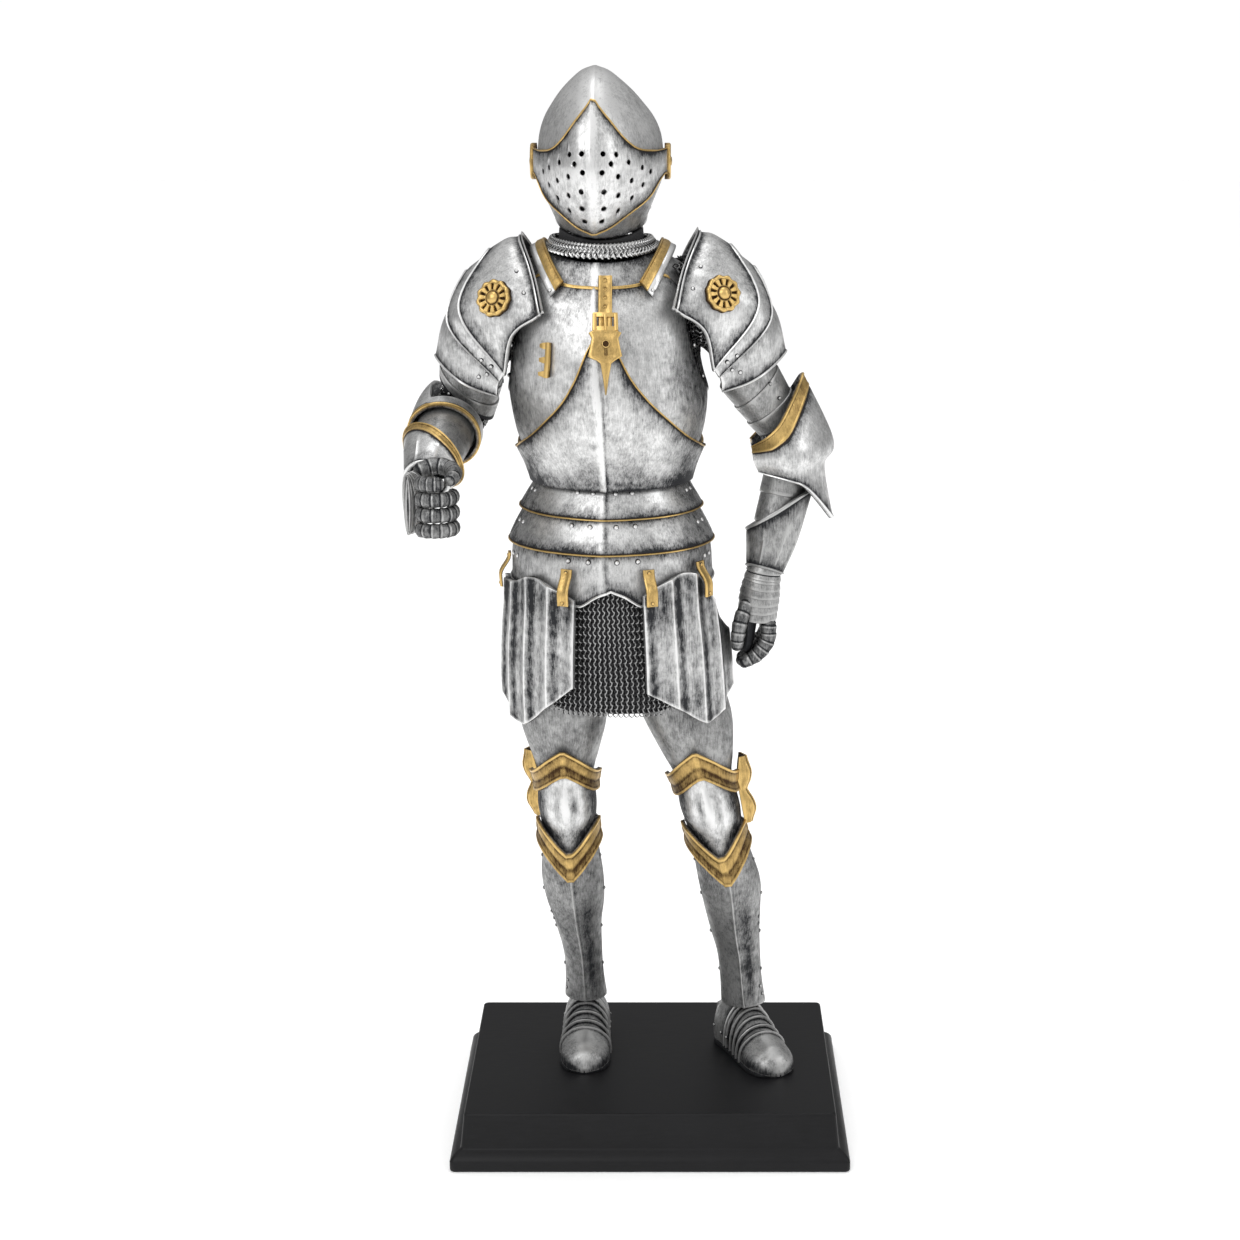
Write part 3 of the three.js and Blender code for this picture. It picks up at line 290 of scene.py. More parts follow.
def wall_faces(rows, columns, closed, every):
    """Faces of a wall between an outer grid and an inner grid that has one row or column in
    `every`. Gives the faces, and the inner grid's rows and columns."""
    some_rows, some_columns = fine_and_coarse(rows, every), fine_and_coarse(columns, every)
    if closed:
        some_columns = list(range(0, columns, every))
    width = columns
    inner = rows * columns
    inner_width = len(some_columns)
    faces = []

    def out(i, j):
        return i * width + j % width

    def inn(i, j):
        return inner + i * inner_width + j % inner_width

    for i in range(rows - 1):
        for j in range(columns if closed else columns - 1):
            faces.append([out(i, j), out(i + 1, j), out(i + 1, j + 1), out(i, j + 1)])
    ends = [*some_columns, columns] if closed else some_columns
    for i in range(len(some_rows) - 1):
        for j in range(len(ends) - 1):
            faces.append([inn(i, j), inn(i, j + 1), inn(i + 1, j + 1), inn(i + 1, j)])
    for j in range(len(ends) - 1):
        span = range(ends[j], ends[j + 1] + 1)
        faces.append([*(out(0, k) for k in span), inn(0, j + 1), inn(0, j)])
        bottom = len(some_rows) - 1
        faces.append([*(out(rows - 1, k) for k in reversed(span)), inn(bottom, j), inn(bottom, j + 1)])
    if not closed:
        for i in range(len(some_rows) - 1):
            span = range(some_rows[i], some_rows[i + 1] + 1)
            faces.append([*(out(k, 0) for k in reversed(span)), inn(i, 0), inn(i + 1, 0)])
            right = inner_width - 1
            faces.append([*(out(k, columns - 1) for k in span), inn(i + 1, right), inn(i, right)])
    return faces, some_rows, some_columns


def tube_faces(rings, around):
    """Faces of a tube through rings of points, with a cap at each end."""
    faces = []
    for i in range(rings - 1):
        for k in range(around):
            m = (k + 1) % around
            faces.append([i * around + k, (i + 1) * around + k, (i + 1) * around + m, i * around + m])
    return [*faces, list(range(around)), [(rings - 1) * around + k for k in reversed(range(around))]]


def inside_out(faces):
    return [[face[0], *face[:0:-1]] for face in faces]


def given(value, *args):
    return value(*args) if callable(value) else value


def plate(
    piece, surface, top, bottom, start=-180, end=180, lift=0.0, wall=WALL, rows=10, columns=48,
    upper=PLAIN, lower=PLAIN, side=PLAIN, detail=None, tone=BARE, every=3,
):
    """Adds a plate cut from a surface. top and bottom say where its edges run, lift how far out it
    lies, and upper, lower and side are its edges' profiles. detail gives an added height, and what
    the points show, for how far down the plate and the angle."""
    closed = end - start == 360
    upper, lower, side = (np.array(profile, float) for profile in (upper, lower, side))
    if closed:
        angles = np.linspace(start, end, columns, endpoint=False)
        column_profile = np.zeros((columns, 4))
    else:
        probe = np.linspace(start, end, 40)
        halfway = lerp(given(top, probe), given(bottom, probe), 0.5) + 0 * probe
        width = np.linalg.norm(np.diff(surface(halfway, probe), axis=0), axis=1).sum()
        reach = side[:, 0] * min(1, 0.3 * width / side[-1, 0]) / width * (end - start)
        inside = np.linspace(start + reach[-1], end - reach[-1], columns)[1:-1]
        angles = np.concatenate([start + reach, inside, end - reach[::-1]])
        column_profile = np.concatenate([side[:, 1:], np.zeros((len(inside), 4)), side[::-1, 1:]])
    t, b = given(top, angles) + 0 * angles, given(bottom, angles) + 0 * angles
    samples = surface(lerp(t, b, np.linspace(0, 1, 9)[:, None]), angles)
    length = np.linalg.norm(np.diff(samples, axis=0), axis=2).sum(0)

    def skew(edge, next_row):
        """An edge that runs aslant needs its profile spread further down the column."""
        along = np.roll(edge, -1, 0) - np.roll(edge, 1, 0) if closed else np.gradient(edge, axis=0)
        down = unit(next_row - edge)
        across = np.linalg.norm(np.cross(unit(along), down), axis=1)
        return 1 / np.clip(across, 0.3, 1)

    def near(profile, edge, next_row):
        d = np.outer(profile[:, 0], skew(edge, next_row) / length)
        return d * np.minimum(1, 0.4 / np.maximum(d[-1], 1e-9))

    high = near(upper, samples[0], samples[1])
    low = near(lower, samples[-1], samples[-2])
    inner_rows = lerp(high[-1], 1 - low[-1], np.linspace(0, 1, rows)[1:-1, None])
    down = np.concatenate([high, inner_rows, 1 - low[::-1]])
    row_profile = np.concatenate([upper[:, 1:], np.zeros((len(inner_rows), 4)), lower[::-1, 1:]])

    angle = np.broadcast_to(angles, down.shape)
    reach = lerp(t, b, down)
    by_row, by_column = row_profile[:, None, :], column_profile[None, :, :]
    height = np.where(np.abs(by_row[..., 0]) >= np.abs(by_column[..., 0]), by_row[..., 0], by_column[..., 0])
    shows = np.maximum(np.maximum(by_row[..., 1:], by_column[..., 1:]), np.asarray(tone, float))
    shows = shows + np.zeros((*down.shape, 1))
    if detail:
        extra, extra_tone = detail(down, angle)
        height = height + extra
        shows = np.maximum(shows, extra_tone)
    base, normal = surface(reach, angle), normals(surface, reach, angle)
    out = given(lift, down, angle) + 0 * down
    outer = base + normal * (out + height)[..., None]
    inner = base + normal * (out - wall)[..., None]
    faces, some_rows, some_columns = wall_faces(*down.shape, closed, every)
    middle = (down.shape[0] // 2, down.shape[1] // 2)
    corner, below, beside = outer[middle], outer[middle[0] + 1, middle[1]], outer[middle[0], middle[1] + 1]
    if np.dot(np.cross(below - corner, beside - corner), normal[middle]) < 0:
        faces = [face[::-1] for face in faces]
    inner = inner[np.ix_(some_rows, some_columns)]
    # A plate's inner side is painted dark, as the shade inside it
    inner_tone = np.broadcast_to((0, 0.75, 0), inner.shape)
    points = np.concatenate([outer.reshape(-1, 3), inner.reshape(-1, 3)])
    piece.add(points, faces, np.concatenate([shows.reshape(-1, 3), inner_tone.reshape(-1, 3)]))


def lames(piece, surface, top, bottom, count, step=0.45, lap=0.12, upward=False, base=0.0, **options):
    """Plates that overlap like tiles: each one's foot lies over the next, or its top if upward."""
    # The end that lies under the next plate is painted dark, as shade
    shaded_end = [(0, 0, 0, 1, 0), (1, 0, 0, 1, 0)]

    def level(part):
        return lambda angle: lerp(given(top, angle), given(bottom, angle), part)

    def rise(down, angle):
        return base + step * (1 - down if upward else down)

    profiles = {"upper": PLAIN, "lower": shaded_end} if upward else {"upper": shaded_end, "lower": PLAIN}
    for k in range(count):
        high = k / count if upward else max(0, k / count - lap)
        low = min(1, (k + 1) / count + lap) if upward else (k + 1) / count
        plate(piece, surface, level(high), level(low), lift=rise, wall=0.6, **{**profiles, **options})


def rod(piece, rows, ahead=(0.2, -1, 0.1), sides=12, segments=0, tone=BARE):
    """Adds a solid rod through rows of (x, y, z, half-width, half-depth), such as a finger. With
    segments it is stepped like overlapping scales."""
    surface = limb([(*row, row[4]) for row in rows], ahead)
    steps = 6 * segments + 1 if segments else 5 * len(rows)
    last = len(rows) - 1
    n = np.linspace(0, last, steps)
    part = (n / last * segments) % 1 if segments else n * 0
    grow = 1 + (0.13 * (1 - part) * (part > 1e-9) if segments else 0) * np.ones(steps)
    # Each scale is painted dark at its joint as shade, and bright just after it as a highlight
    dark = np.where((part < 0.02) | (part > 0.97), 1.0, 0.0) if segments else n * 0
    bright = np.where((part >= 0.02) & (part < 0.3), 0.8, 0.0) if segments else n * 0
    n = np.concatenate([n[:1], n[:1], n, n[-1:], n[-1:]])
    grow = np.concatenate([[0.35, 0.75], grow, [0.75, 0.35]])
    dark = np.concatenate([[0, 0], dark, [0, 0]])
    bright = np.concatenate([[0, 0], bright, [0.3, 0.3]])
    angle = np.arange(sides) / sides * 360
    middle = surface.middle(n)[:, None, :]
    end_shift = np.zeros((len(n), 1, 3))
    head, tail = unit(middle[2] - middle[4]), unit(middle[-3] - middle[-5])
    depth_a, depth_b = rows[0][4], rows[-1][4]
    end_shift[0], end_shift[1] = head * depth_a * 0.6, head * depth_a * 0.4
    end_shift[-1], end_shift[-2] = tail * depth_b * 0.6, tail * depth_b * 0.4
    ring = middle + (surface(n[:, None], angle[None, :]) - middle) * grow[:, None, None] + end_shift
    count = len(n)
    faces = tube_faces(count, sides)
    points = ring.reshape(-1, 3)
    a, b, c = (points[faces[sides * (count // 2)][k]] for k in (0, 1, 2))
    if np.dot(np.cross(b - a, c - a), a - middle[count // 2, 0]) < 0:
        faces = [face[::-1] for face in faces]
    shows = np.zeros((count, sides, 3)) + np.asarray(tone, float)
    shows[..., 1] = np.maximum(shows[..., 1], dark[:, None])
    shows[..., 2] = np.maximum(shows[..., 2], bright[:, None])
    piece.add(points, faces, shows.reshape(-1, 3))


def turned_face(piece, centre, normal, profile, sides=20, shape=None):
    """Adds a closed round boss on a surface: a profile of (radius, height, what it shows) from the
    middle out. shape changes the heights and tones at (radius, angle)."""
    normal = unit(normal)
    helper = np.array([0, 0, 1.0]) if abs(normal[2]) < 0.9 else np.array([0, 1.0, 0])
    e1 = unit(np.cross(helper, normal))
    e2 = np.cross(normal, e1)
    points, shows = [], []
    angle = np.arange(sides) / sides * 2 * math.pi
    for radius, height, tone in profile:
        r, h, t = radius + 0 * angle, height + 0 * angle, np.broadcast_to(tone, (sides, 3))
        if shape:
            r, h, t = shape(radius, height, t, angle)
        x, y = r * np.cos(angle), r * np.sin(angle)
        points.append(centre + np.outer(x, e1) + np.outer(y, e2) + np.outer(h, normal))
        shows.append(t)
    # A dark skirt under the rim, painted as shade
    points.append(points[-1] - normal * 0.5)
    shows.append(np.broadcast_to(DARK, (sides, 3)))
    piece.add(np.concatenate(points), tube_faces(len(points), sides), np.concatenate(shows))


def rivet(piece, point, normal, radius=0.62, tone=BRIGHT):
    """A domed rivet head painted bright on top as a highlight, with a dark line of painted shade round its
    foot.
    """
    dome = [(radius * math.sin(a), 0.1 + 0.75 * radius * math.cos(a), tone) for a in (0.25, 0.75, 1.2)]
    dome += [(radius, 0.06, DARK), (radius * 1.25, 0.0, DARK)]
    turned_face(piece, point, normal, dome, sides=10)


def rivets(piece, surface, spots, lift, **options):
    for along, across in spots:
        along, across = np.array(float(along)), np.array(float(across))
        normal = normals(surface, along, across)
        rivet(piece, surface(along, across) + normal * lift, normal, **options)


def bar(piece, left, right, up, thickness, tone=BARE, edge=0.18, levels=((0, 0), (1, 0))):
    """Adds a strap between two lines of points: an upper face with a rounded edge and a flat
    underside. levels are (part of the width, height) across it."""
    left, right = np.asarray(left, float), np.asarray(right, float)
    up = unit(np.broadcast_to(up, left.shape))
    across = right - left
    width = np.linalg.norm(across, axis=1, keepdims=True)
    ins = np.minimum(0.3, edge / width)
    columns = [left, left + up * (thickness - edge)]
    for t, h in levels:
        s = lerp(ins, 1 - ins, t)
        columns.append(left + across * s + up * (thickness + h))
    columns += [right + up * (thickness - edge), right]
    grid = np.stack(columns, 1)
    rows, count = grid.shape[:2]
    faces = tube_faces(rows, count)
    a, b, c = grid[0, 2], grid[1, 2], grid[0, 3]
    if np.dot(np.cross(b - a, c - a), up[0]) < 0:
        faces = [face[::-1] for face in faces]
    shows = np.zeros((rows, count, 3)) + np.asarray(tone, float)
    # The strap's sides are painted dark as shade under its edges, and the rims of its top bright as
    # highlights
    shows[:, 0, 1] = shows[:, -1, 1] = 1
    shows[:, 1:3, 2] = shows[:, -3:-1, 2] = np.maximum(shows[:, 1:3, 2], 0.6)
    piece.add(grid.reshape(-1, 3), faces, shows.reshape(-1, 3))


def ring_of_wire(radius, wire, segments=8, sides=3):
    """The points and faces of one ring of mail, lying flat."""
    ring_angle = np.arange(segments)[:, None] / segments * 2 * math.pi
    tube_angle = np.arange(sides) / sides * 2 * math.pi
    r = radius + wire * np.cos(tube_angle)
    h = wire * np.sin(tube_angle) + 0 * ring_angle
    points = np.stack([r * np.cos(ring_angle), r * np.sin(ring_angle), h], -1).reshape(-1, 3)
    faces = []
    for i in range(segments):
        for k in range(sides):
            a, c = (i + 1) % segments, (k + 1) % sides
            faces.append([i * sides + k, a * sides + k, a * sides + c, i * sides + c])
    return points, faces


def mail(
    piece, surface, top, bottom, start=-180, end=180, lift=0.0, pitch=1.55, drop=1.3, radius=0.92, wire=0.2
):
    """Adds rows of linked rings over a surface, leaning one way and the other in turn."""
    closed = end - start == 360
    probe = np.linspace(start, end, 73)
    t, b = given(top, probe) + 0 * probe, given(bottom, probe) + 0 * probe
    middle = surface(lerp(t, b, 0.5), probe)
    width = np.linalg.norm(np.diff(middle, axis=0), axis=1).sum()
    length = np.linalg.norm(surface(t, probe) - surface(b, probe), axis=1).max()
    across, rows = int(width / pitch), max(2, int(length / drop))
    longest = np.argmax(np.linalg.norm(surface(t, probe) - surface(b, probe), axis=1))
    span = t[longest] - b[longest]
    template, ring_faces = ring_of_wire(radius, wire)
    for row in range(rows):
        count = across if closed else across - row % 2
        place = (np.arange(count) + 0.5 * (row % 2) + 0.25) / across
        angle = start + place * (end - start)
        here_top, here_bottom = given(top, angle) + 0 * angle, given(bottom, angle) + 0 * angle
        reach = here_top - span * (row + 0.5) / rows
        keep = reach > here_bottom if span > 0 else reach < here_bottom
        angle, reach = angle[keep], reach[keep]
        if not len(angle):
            continue
        out = given(lift, (row + 0.5) / rows, angle)
        normal = normals(surface, reach, angle)
        centre = surface(reach, angle) + normal * (out + 0 * angle)[:, None]
        aside = unit(surface(reach, angle + 0.5) - surface(reach, angle - 0.5))
        lean = math.radians(RING_LEAN if row % 2 else -RING_LEAN)
        tip = math.radians(RING_TIP)
        axis = unit(normal * math.cos(lean) + aside * math.sin(lean))
        drop_way = np.cross(normal, aside)
        axis = unit(axis * math.cos(tip) + drop_way * math.sin(tip))
        e1 = unit(aside - axis * np.sum(axis * aside, 1, keepdims=True))
        e2 = np.cross(axis, e1)
        basis = np.stack([e1, e2, axis], 1)
        points = centre[:, None, :] + np.einsum("vk,nkx->nvx", template, basis)
        n = len(template)
        faces = [[f + n * q for f in face] for q in range(len(angle)) for face in ring_faces]
        # Each ring is painted bright where it stands out, as a highlight, and dark where it sinks, as shade
        # between the rings
        outness = np.einsum("nvx,nx->nv", points - centre[:, None, :], normal)
        painted_highlight = np.clip(outness / (radius * 0.6), 0, 1)
        shows = shown(0, 1 - painted_highlight, painted_highlight)
        piece.add(points.reshape(-1, 3), faces, shows.reshape(-1, 3))


# ---------------------------------------------------------------- materials


class Net:
    """A material's node tree, built one node at a time."""

    def __init__(self, name):
        self.material = bpy.data.materials.new(name)
        self.material.use_nodes = True
        self.tree = self.material.node_tree
        self.shader = self.tree.nodes["Principled BSDF"]

    def put(self, socket, value):
        if isinstance(value, bpy.types.NodeSocket):
            self.tree.links.new(value, socket)
        elif isinstance(value, tuple) and len(value) == 3 and socket.type == "RGBA":
            socket.default_value = (*value, 1)
        else:
            socket.default_value = value

    def node(self, kind, inputs=(), out=0, **options):
        node = self.tree.nodes.new("ShaderNode" + kind)
        for key, value in options.items():
            setattr(node, key, value)
        for key, value in dict(inputs).items():
            self.put(node.inputs[key], value)
        return node.outputs[out]

    def noise(self, where, scale, detail=3.0, roughness=0.55):
        inputs = {"Vector": where, "Scale": scale, "Detail": detail, "Roughness": roughness}
        return self.node("TexNoise", inputs)

    def stretched(self, where, scale):
        return self.node("Mapping", {"Vector": where, "Scale": scale})

    def math(self, operation, a, b=0.0, clamp=False):
        return self.node("Math", {0: a, 1: b}, operation=operation, use_clamp=clamp)

    def ramp(self, value, low, high, to_low=0.0, to_high=1.0):
        names = {"Value": value, "From Min": low, "From Max": high, "To Min": to_low, "To Max": to_high}
        return self.node("MapRange", names, clamp=True)

    def mix(self, factor, a, b):
        return self.node("Mix", {0: factor, 6: a, 7: b}, out=2, data_type="RGBA")

    def bump(self, height, strength, distance):
        return self.node("Bump", {"Strength": strength, "Distance": distance, "Height": height})

    def finish(self, **inputs):
        for key, value in inputs.items():
            self.put(self.shader.inputs[key.replace("_", " ")], value)
        return self.material


def metal(name, dark, light, brown, gold, grime=0.5, rough=0.4, metallic=0.85):
    """Antiqued metal: brushed streaks and specks, darkened where the tone gives patina and painted shade,
    brightened where it gives worn edges and painted highlights.
    """
    net = Net(name)
    where = net.node("TexCoord", out=3)
    tone = net.node("Attribute", out=0, attribute_name="tone", attribute_type="GEOMETRY")
    parts = net.tree.nodes.new("ShaderNodeSeparateColor")
    net.put(parts.inputs[0], tone)
    gilt, wash_and_shade, rubbed_and_highlit = parts.outputs
    clouds = net.noise(where, 95, 3.0, 0.6)
    patches = net.noise(where, 420, 4.0, 0.65)
    streaks = net.noise(net.stretched(where, (1.0, 1.0, 0.16)), 2300, 4.0, 0.7)
    specks = net.noise(where, 3600, 3.0, 0.7)
    mottle = net.math("ADD", net.math("MULTIPLY", patches, 0.45), net.math("MULTIPLY", streaks, 0.55))
    mottle = net.math("ADD", mottle, net.math("MULTIPLY", net.math("SUBTRACT", clouds, 0.5), 0.45))
    stain = net.ramp(mottle, 0.62, 0.34)
    stain = net.math("MULTIPLY", stain, grime)
    speckle = net.math("MULTIPLY", net.ramp(specks, 0.56, 0.72), 0.3)
    # The tone's patina and painted shade darken the colour; its worn edges and painted highlights brighten it
    shade = net.math("ADD", net.math("ADD", stain, speckle), net.math("MULTIPLY", wash_and_shade, 0.95))
    shade = net.math("SUBTRACT", shade, net.math("MULTIPLY", rubbed_and_highlit, 0.75), clamp=True)
    steel = net.mix(shade, light, dark)
    gilding = net.mix(shade, gold, brown)
    colour = net.mix(gilt, steel, gilding)
    dullness = net.math("ADD", shade, net.math("MULTIPLY", specks, 0.25))
    roughness = net.ramp(dullness, 0, 1.2, rough - 0.06, rough + 0.3)
    height = net.math("ADD", net.math("MULTIPLY", streaks, 0.6), net.math("MULTIPLY", specks, 0.4))
    return net.finish(
        Base_Color=colour, Roughness=roughness, Metallic=metallic, Normal=net.bump(height, 0.5, 0.00007)
    )


STEEL_DARK, STEEL_LIGHT = (0.03, 0.031, 0.034), (0.74, 0.74, 0.735)
GOLD_BROWN, GOLD_LIGHT = (0.055, 0.028, 0.01), (0.66, 0.45, 0.165)
COLOURS = (STEEL_DARK, STEEL_LIGHT, GOLD_BROWN, GOLD_LIGHT)
steel = metal("antiqued_steel", *COLOURS, grime=0.6, rough=0.34)
# A darker, rougher copy of the steel, painted as shade on the arms, hands and legs
shaded_steel = metal("antiqued_steel_shaded", STEEL_DARK, (0.43, 0.43, 0.425), *COLOURS[2:], grime=0.7, rough=0.4)
gilt = metal("aged_gilt", *COLOURS, grime=0.5, rough=0.34)
ring_metal = metal("mail_rings", (0.01, 0.01, 0.011), (0.33, 0.33, 0.33), *COLOURS[2:], grime=1.1, rough=0.35)


def mail_cloth():
    """The dark sheet that the rings lie on."""
    net = Net("mail_cloth")
    where = net.node("TexCoord", out=3)
    grain = net.noise(where, 2600, 3.0)
    colour = net.mix(net.ramp(grain, 0.35, 0.7), (0.008, 0.008, 0.009), (0.03, 0.03, 0.032))
    return net.finish(Base_Color=colour, Roughness=0.8, Normal=net.bump(grain, 0.6, 0.00015))


def lacquer():
    """Satin black lacquer on wood, faintly grained and dusty."""
    net = Net("black_lacquer")
    where = net.node("TexCoord", out=3)
    grain = net.noise(net.stretched(where, (0.12, 1.0, 1.0)), 1500, 5.0, 0.65)
    dust = net.noise(where, 60, 4.0, 0.6)
    specks = net.noise(where, 4200, 2.0)
    shade = net.math("ADD", net.math("MULTIPLY", grain, 0.5), net.math("MULTIPLY", dust, 0.5))
    colour = net.mix(net.ramp(shade, 0.3, 0.7), (0.003, 0.003, 0.0034), (0.008, 0.008, 0.009))
    colour = net.mix(net.ramp(specks, 0.72, 0.78, 0, 0.25), colour, (0.12, 0.12, 0.12))
    roughness = net.ramp(shade, 0.3, 0.7, 0.36, 0.5)
    height = net.math("ADD", net.math("MULTIPLY", grain, 0.7), net.math("MULTIPLY", specks, 0.3))
    return net.finish(
        Base_Color=colour, Roughness=roughness, Specular_IOR_Level=0.22,
        Normal=net.bump(height, 0.25, 0.00006),
    )


cloth = mail_cloth()
black = lacquer()


# ---------------------------------------------------------------- plinth


def plinth():
    half_width, half_depth = 57.1, 42.8
    profile = [
        (3.9, 0), (4.3, 0.35), (4.4, 0.8), (4.4, 3.1), (4.25, 3.6), (3.8, 4.3), (3.1, 5.0), (2.3, 5.6),
        (1.6, 6.0), (1.25, 6.3), (1.1, 6.7), (0.15, 16.6), (0.02, 17.1), (-0.25, 17.4), (-0.7, 17.5),
    ]
    corner = 1.4
    quarter = np.radians(np.linspace(0, 90, 6))
    points = []
    for out, z in profile:
        ring = []
        for turn, (sx, sy) in enumerate([(1, -1), (1, 1), (-1, 1), (-1, -1)]):
            cx, cy = sx * (half_width + out - corner), sy * (half_depth + out - corner)
            a = quarter + math.radians(90 * turn - 90)
            ring += [(cx + corner * math.cos(q), cy + corner * math.sin(q), z) for q in a]
        points.append(ring)
    piece = Piece("plinth", "plinth")
    piece.add(np.array(points), inside_out(tube_faces(len(points), len(points[0]))))
    piece.make(black, sharp=40)


# ---------------------------------------------------------------- helmet

HELMET = {"x": -14.2, "y": 0.0, "z": 302.4, "half_width": 18.4, "radius": 27.6}
helmet_radius = even(
    (0, 1), (12, 0.953), (24, 0.851), (35, 0.743), (48, 0.601), (60, 0.478), (72, 0.34), (80, 0.235),
    (85, 0.14), (90, 0.03),
)
CHIN_TURN, NAPE_TURN, NECK_TURN = -45, 222, 40
FACE_TURN = 5
visor_top_edge = even((0, 41), (13, 29), (25, 20), (37, 14.5), (51, 15), (67, 21), (78, 34), (86, 60))
visor_foot_edge = even((0, -43), (15, -40), (31, -37), (52, -34), (67, -22), (78, -24), (86, -50))


def faced(across):
    """The face looks a little to the wearer's right."""
    return across + FACE_TURN * cos_deg(across)


def turned_point(turn, across, extra=0.0):
    """A point of the skull: turn goes round the ears' axis from the face upwards, across from the
    middle (0) to the ears (90)."""
    radius = HELMET["radius"] * helmet_radius(faced(across)) + extra
    x = HELMET["x"] + HELMET["half_width"] * sin_deg(across)
    return np.stack(
        [x + 0 * turn, HELMET["y"] - radius * cos_deg(turn), HELMET["z"] + radius * sin_deg(turn)], -1
    )


def neck_point(across, behind):
    """The helmet's lower opening, before or behind."""
    depth, middle_z = (14.6, 283) if behind else (-13.6, 281)
    x = HELMET["x"] + 12.6 * sin_deg(across)
    return np.stack([x, depth * cos_deg(across), lerp(middle_z, 283.6, sin_deg(across) ** 2)], -1)


def helmet_surface(turn, across):
    turn, across = np.broadcast_arrays(np.asarray(turn, float), np.asarray(across, float))
    points = turned_point(np.clip(turn, CHIN_TURN, NAPE_TURN), across)
    back = np.clip((turn - NAPE_TURN) / NECK_TURN, 0, None)[..., None]
    front = np.clip((CHIN_TURN - turn) / NECK_TURN, 0, None)[..., None]
    points = lerp(points, neck_point(across, True), back)
    return lerp(points, neck_point(across, False), front)


def visor_top(across):
    return visor_top_edge(faced(across))


def visor_foot(across):
    return visor_foot_edge(faced(across))


def visor_surface(turn, across):
    turn, across = np.broadcast_arrays(np.asarray(turn, float), np.asarray(across, float))
    bulge = np.maximum(0, 1 - np.abs(turn) / 44) * cos_deg(faced(across)) ** 2
    return turned_point(turn, across, 1.1 * bulge)


helmet_surface.up = visor_surface.up = 1

# Half of the visor's breaths, as (turn, across); the other half mirrors them
BREATH_RADIUS = 0.8
BREATHS = [
    (7.6, 8.2), (7.6, 18.6), (2.0, 14.2), (2.9, 29.5), (-1.4, 42.5), (-6.2, 52), (-2.5, 7.4), (-5.6, 20),
    (-10, 32), (-16.5, 43), (-13.7, 8.8), (-18, 20), (-23.6, 32), (-29, 19.6), (-24.2, 8.4), (-33, 6.6),
]


def crest(height, half_width, painted_highlight=1.0, glow=0.0):
    """A ridge along the helmet's middle, with a painted highlight on and around it and a little painted shade
    just beside it.
    """

    def detail(down, across):
        x = np.abs(HELMET["half_width"] * sin_deg(faced(across)))
        ridge = np.maximum(0, 1 - x / half_width)
        beside = hump(x, half_width + 0.3, 0.5)
        # glow paints a broad highlight down the helmet's middle
        rubbed_and_highlit = painted_highlight * np.minimum(1, 1.4 * ridge) + glow * hump(x, 0, 9)
        tone = shown(0, 0.2 * beside, np.minimum(1, rubbed_and_highlit))
        return height * ridge**1.2, tone

    return detail


def cut_holes(look, drills, axes, radius):
    """Cuts the drills' shape out of a piece and paints the holes' walls dark, as the shade inside them."""
    modifier = look.modifiers.new("holes", "BOOLEAN")
    modifier.operation, modifier.object, modifier.solver = "DIFFERENCE", drills, "EXACT"
    evaluated = look.evaluated_get(bpy.context.evaluated_depsgraph_get())
    mesh = bpy.data.meshes.new_from_object(evaluated)
    look.modifiers.clear()
    look.data = mesh
    bpy.data.objects.remove(drills)
    points = np.array([look.matrix_world @ vertex.co for vertex in mesh.vertices]) / MM
    shows = np.array([item.color[:] for item in mesh.attributes["tone"].data])
    for centre, normal in axes:
        away = points - centre
        depth = away @ normal
        off = np.linalg.norm(away - depth[:, None] * normal, axis=1)
        inside = off < radius * 1.02
        shows[inside] = (0, 0.15, 0, 1)
        shows[inside & (depth < depth[inside].max() - 0.2)] = (0, 1, 0, 1)
    mesh.attributes["tone"].data.foreach_set("color", shows.ravel())


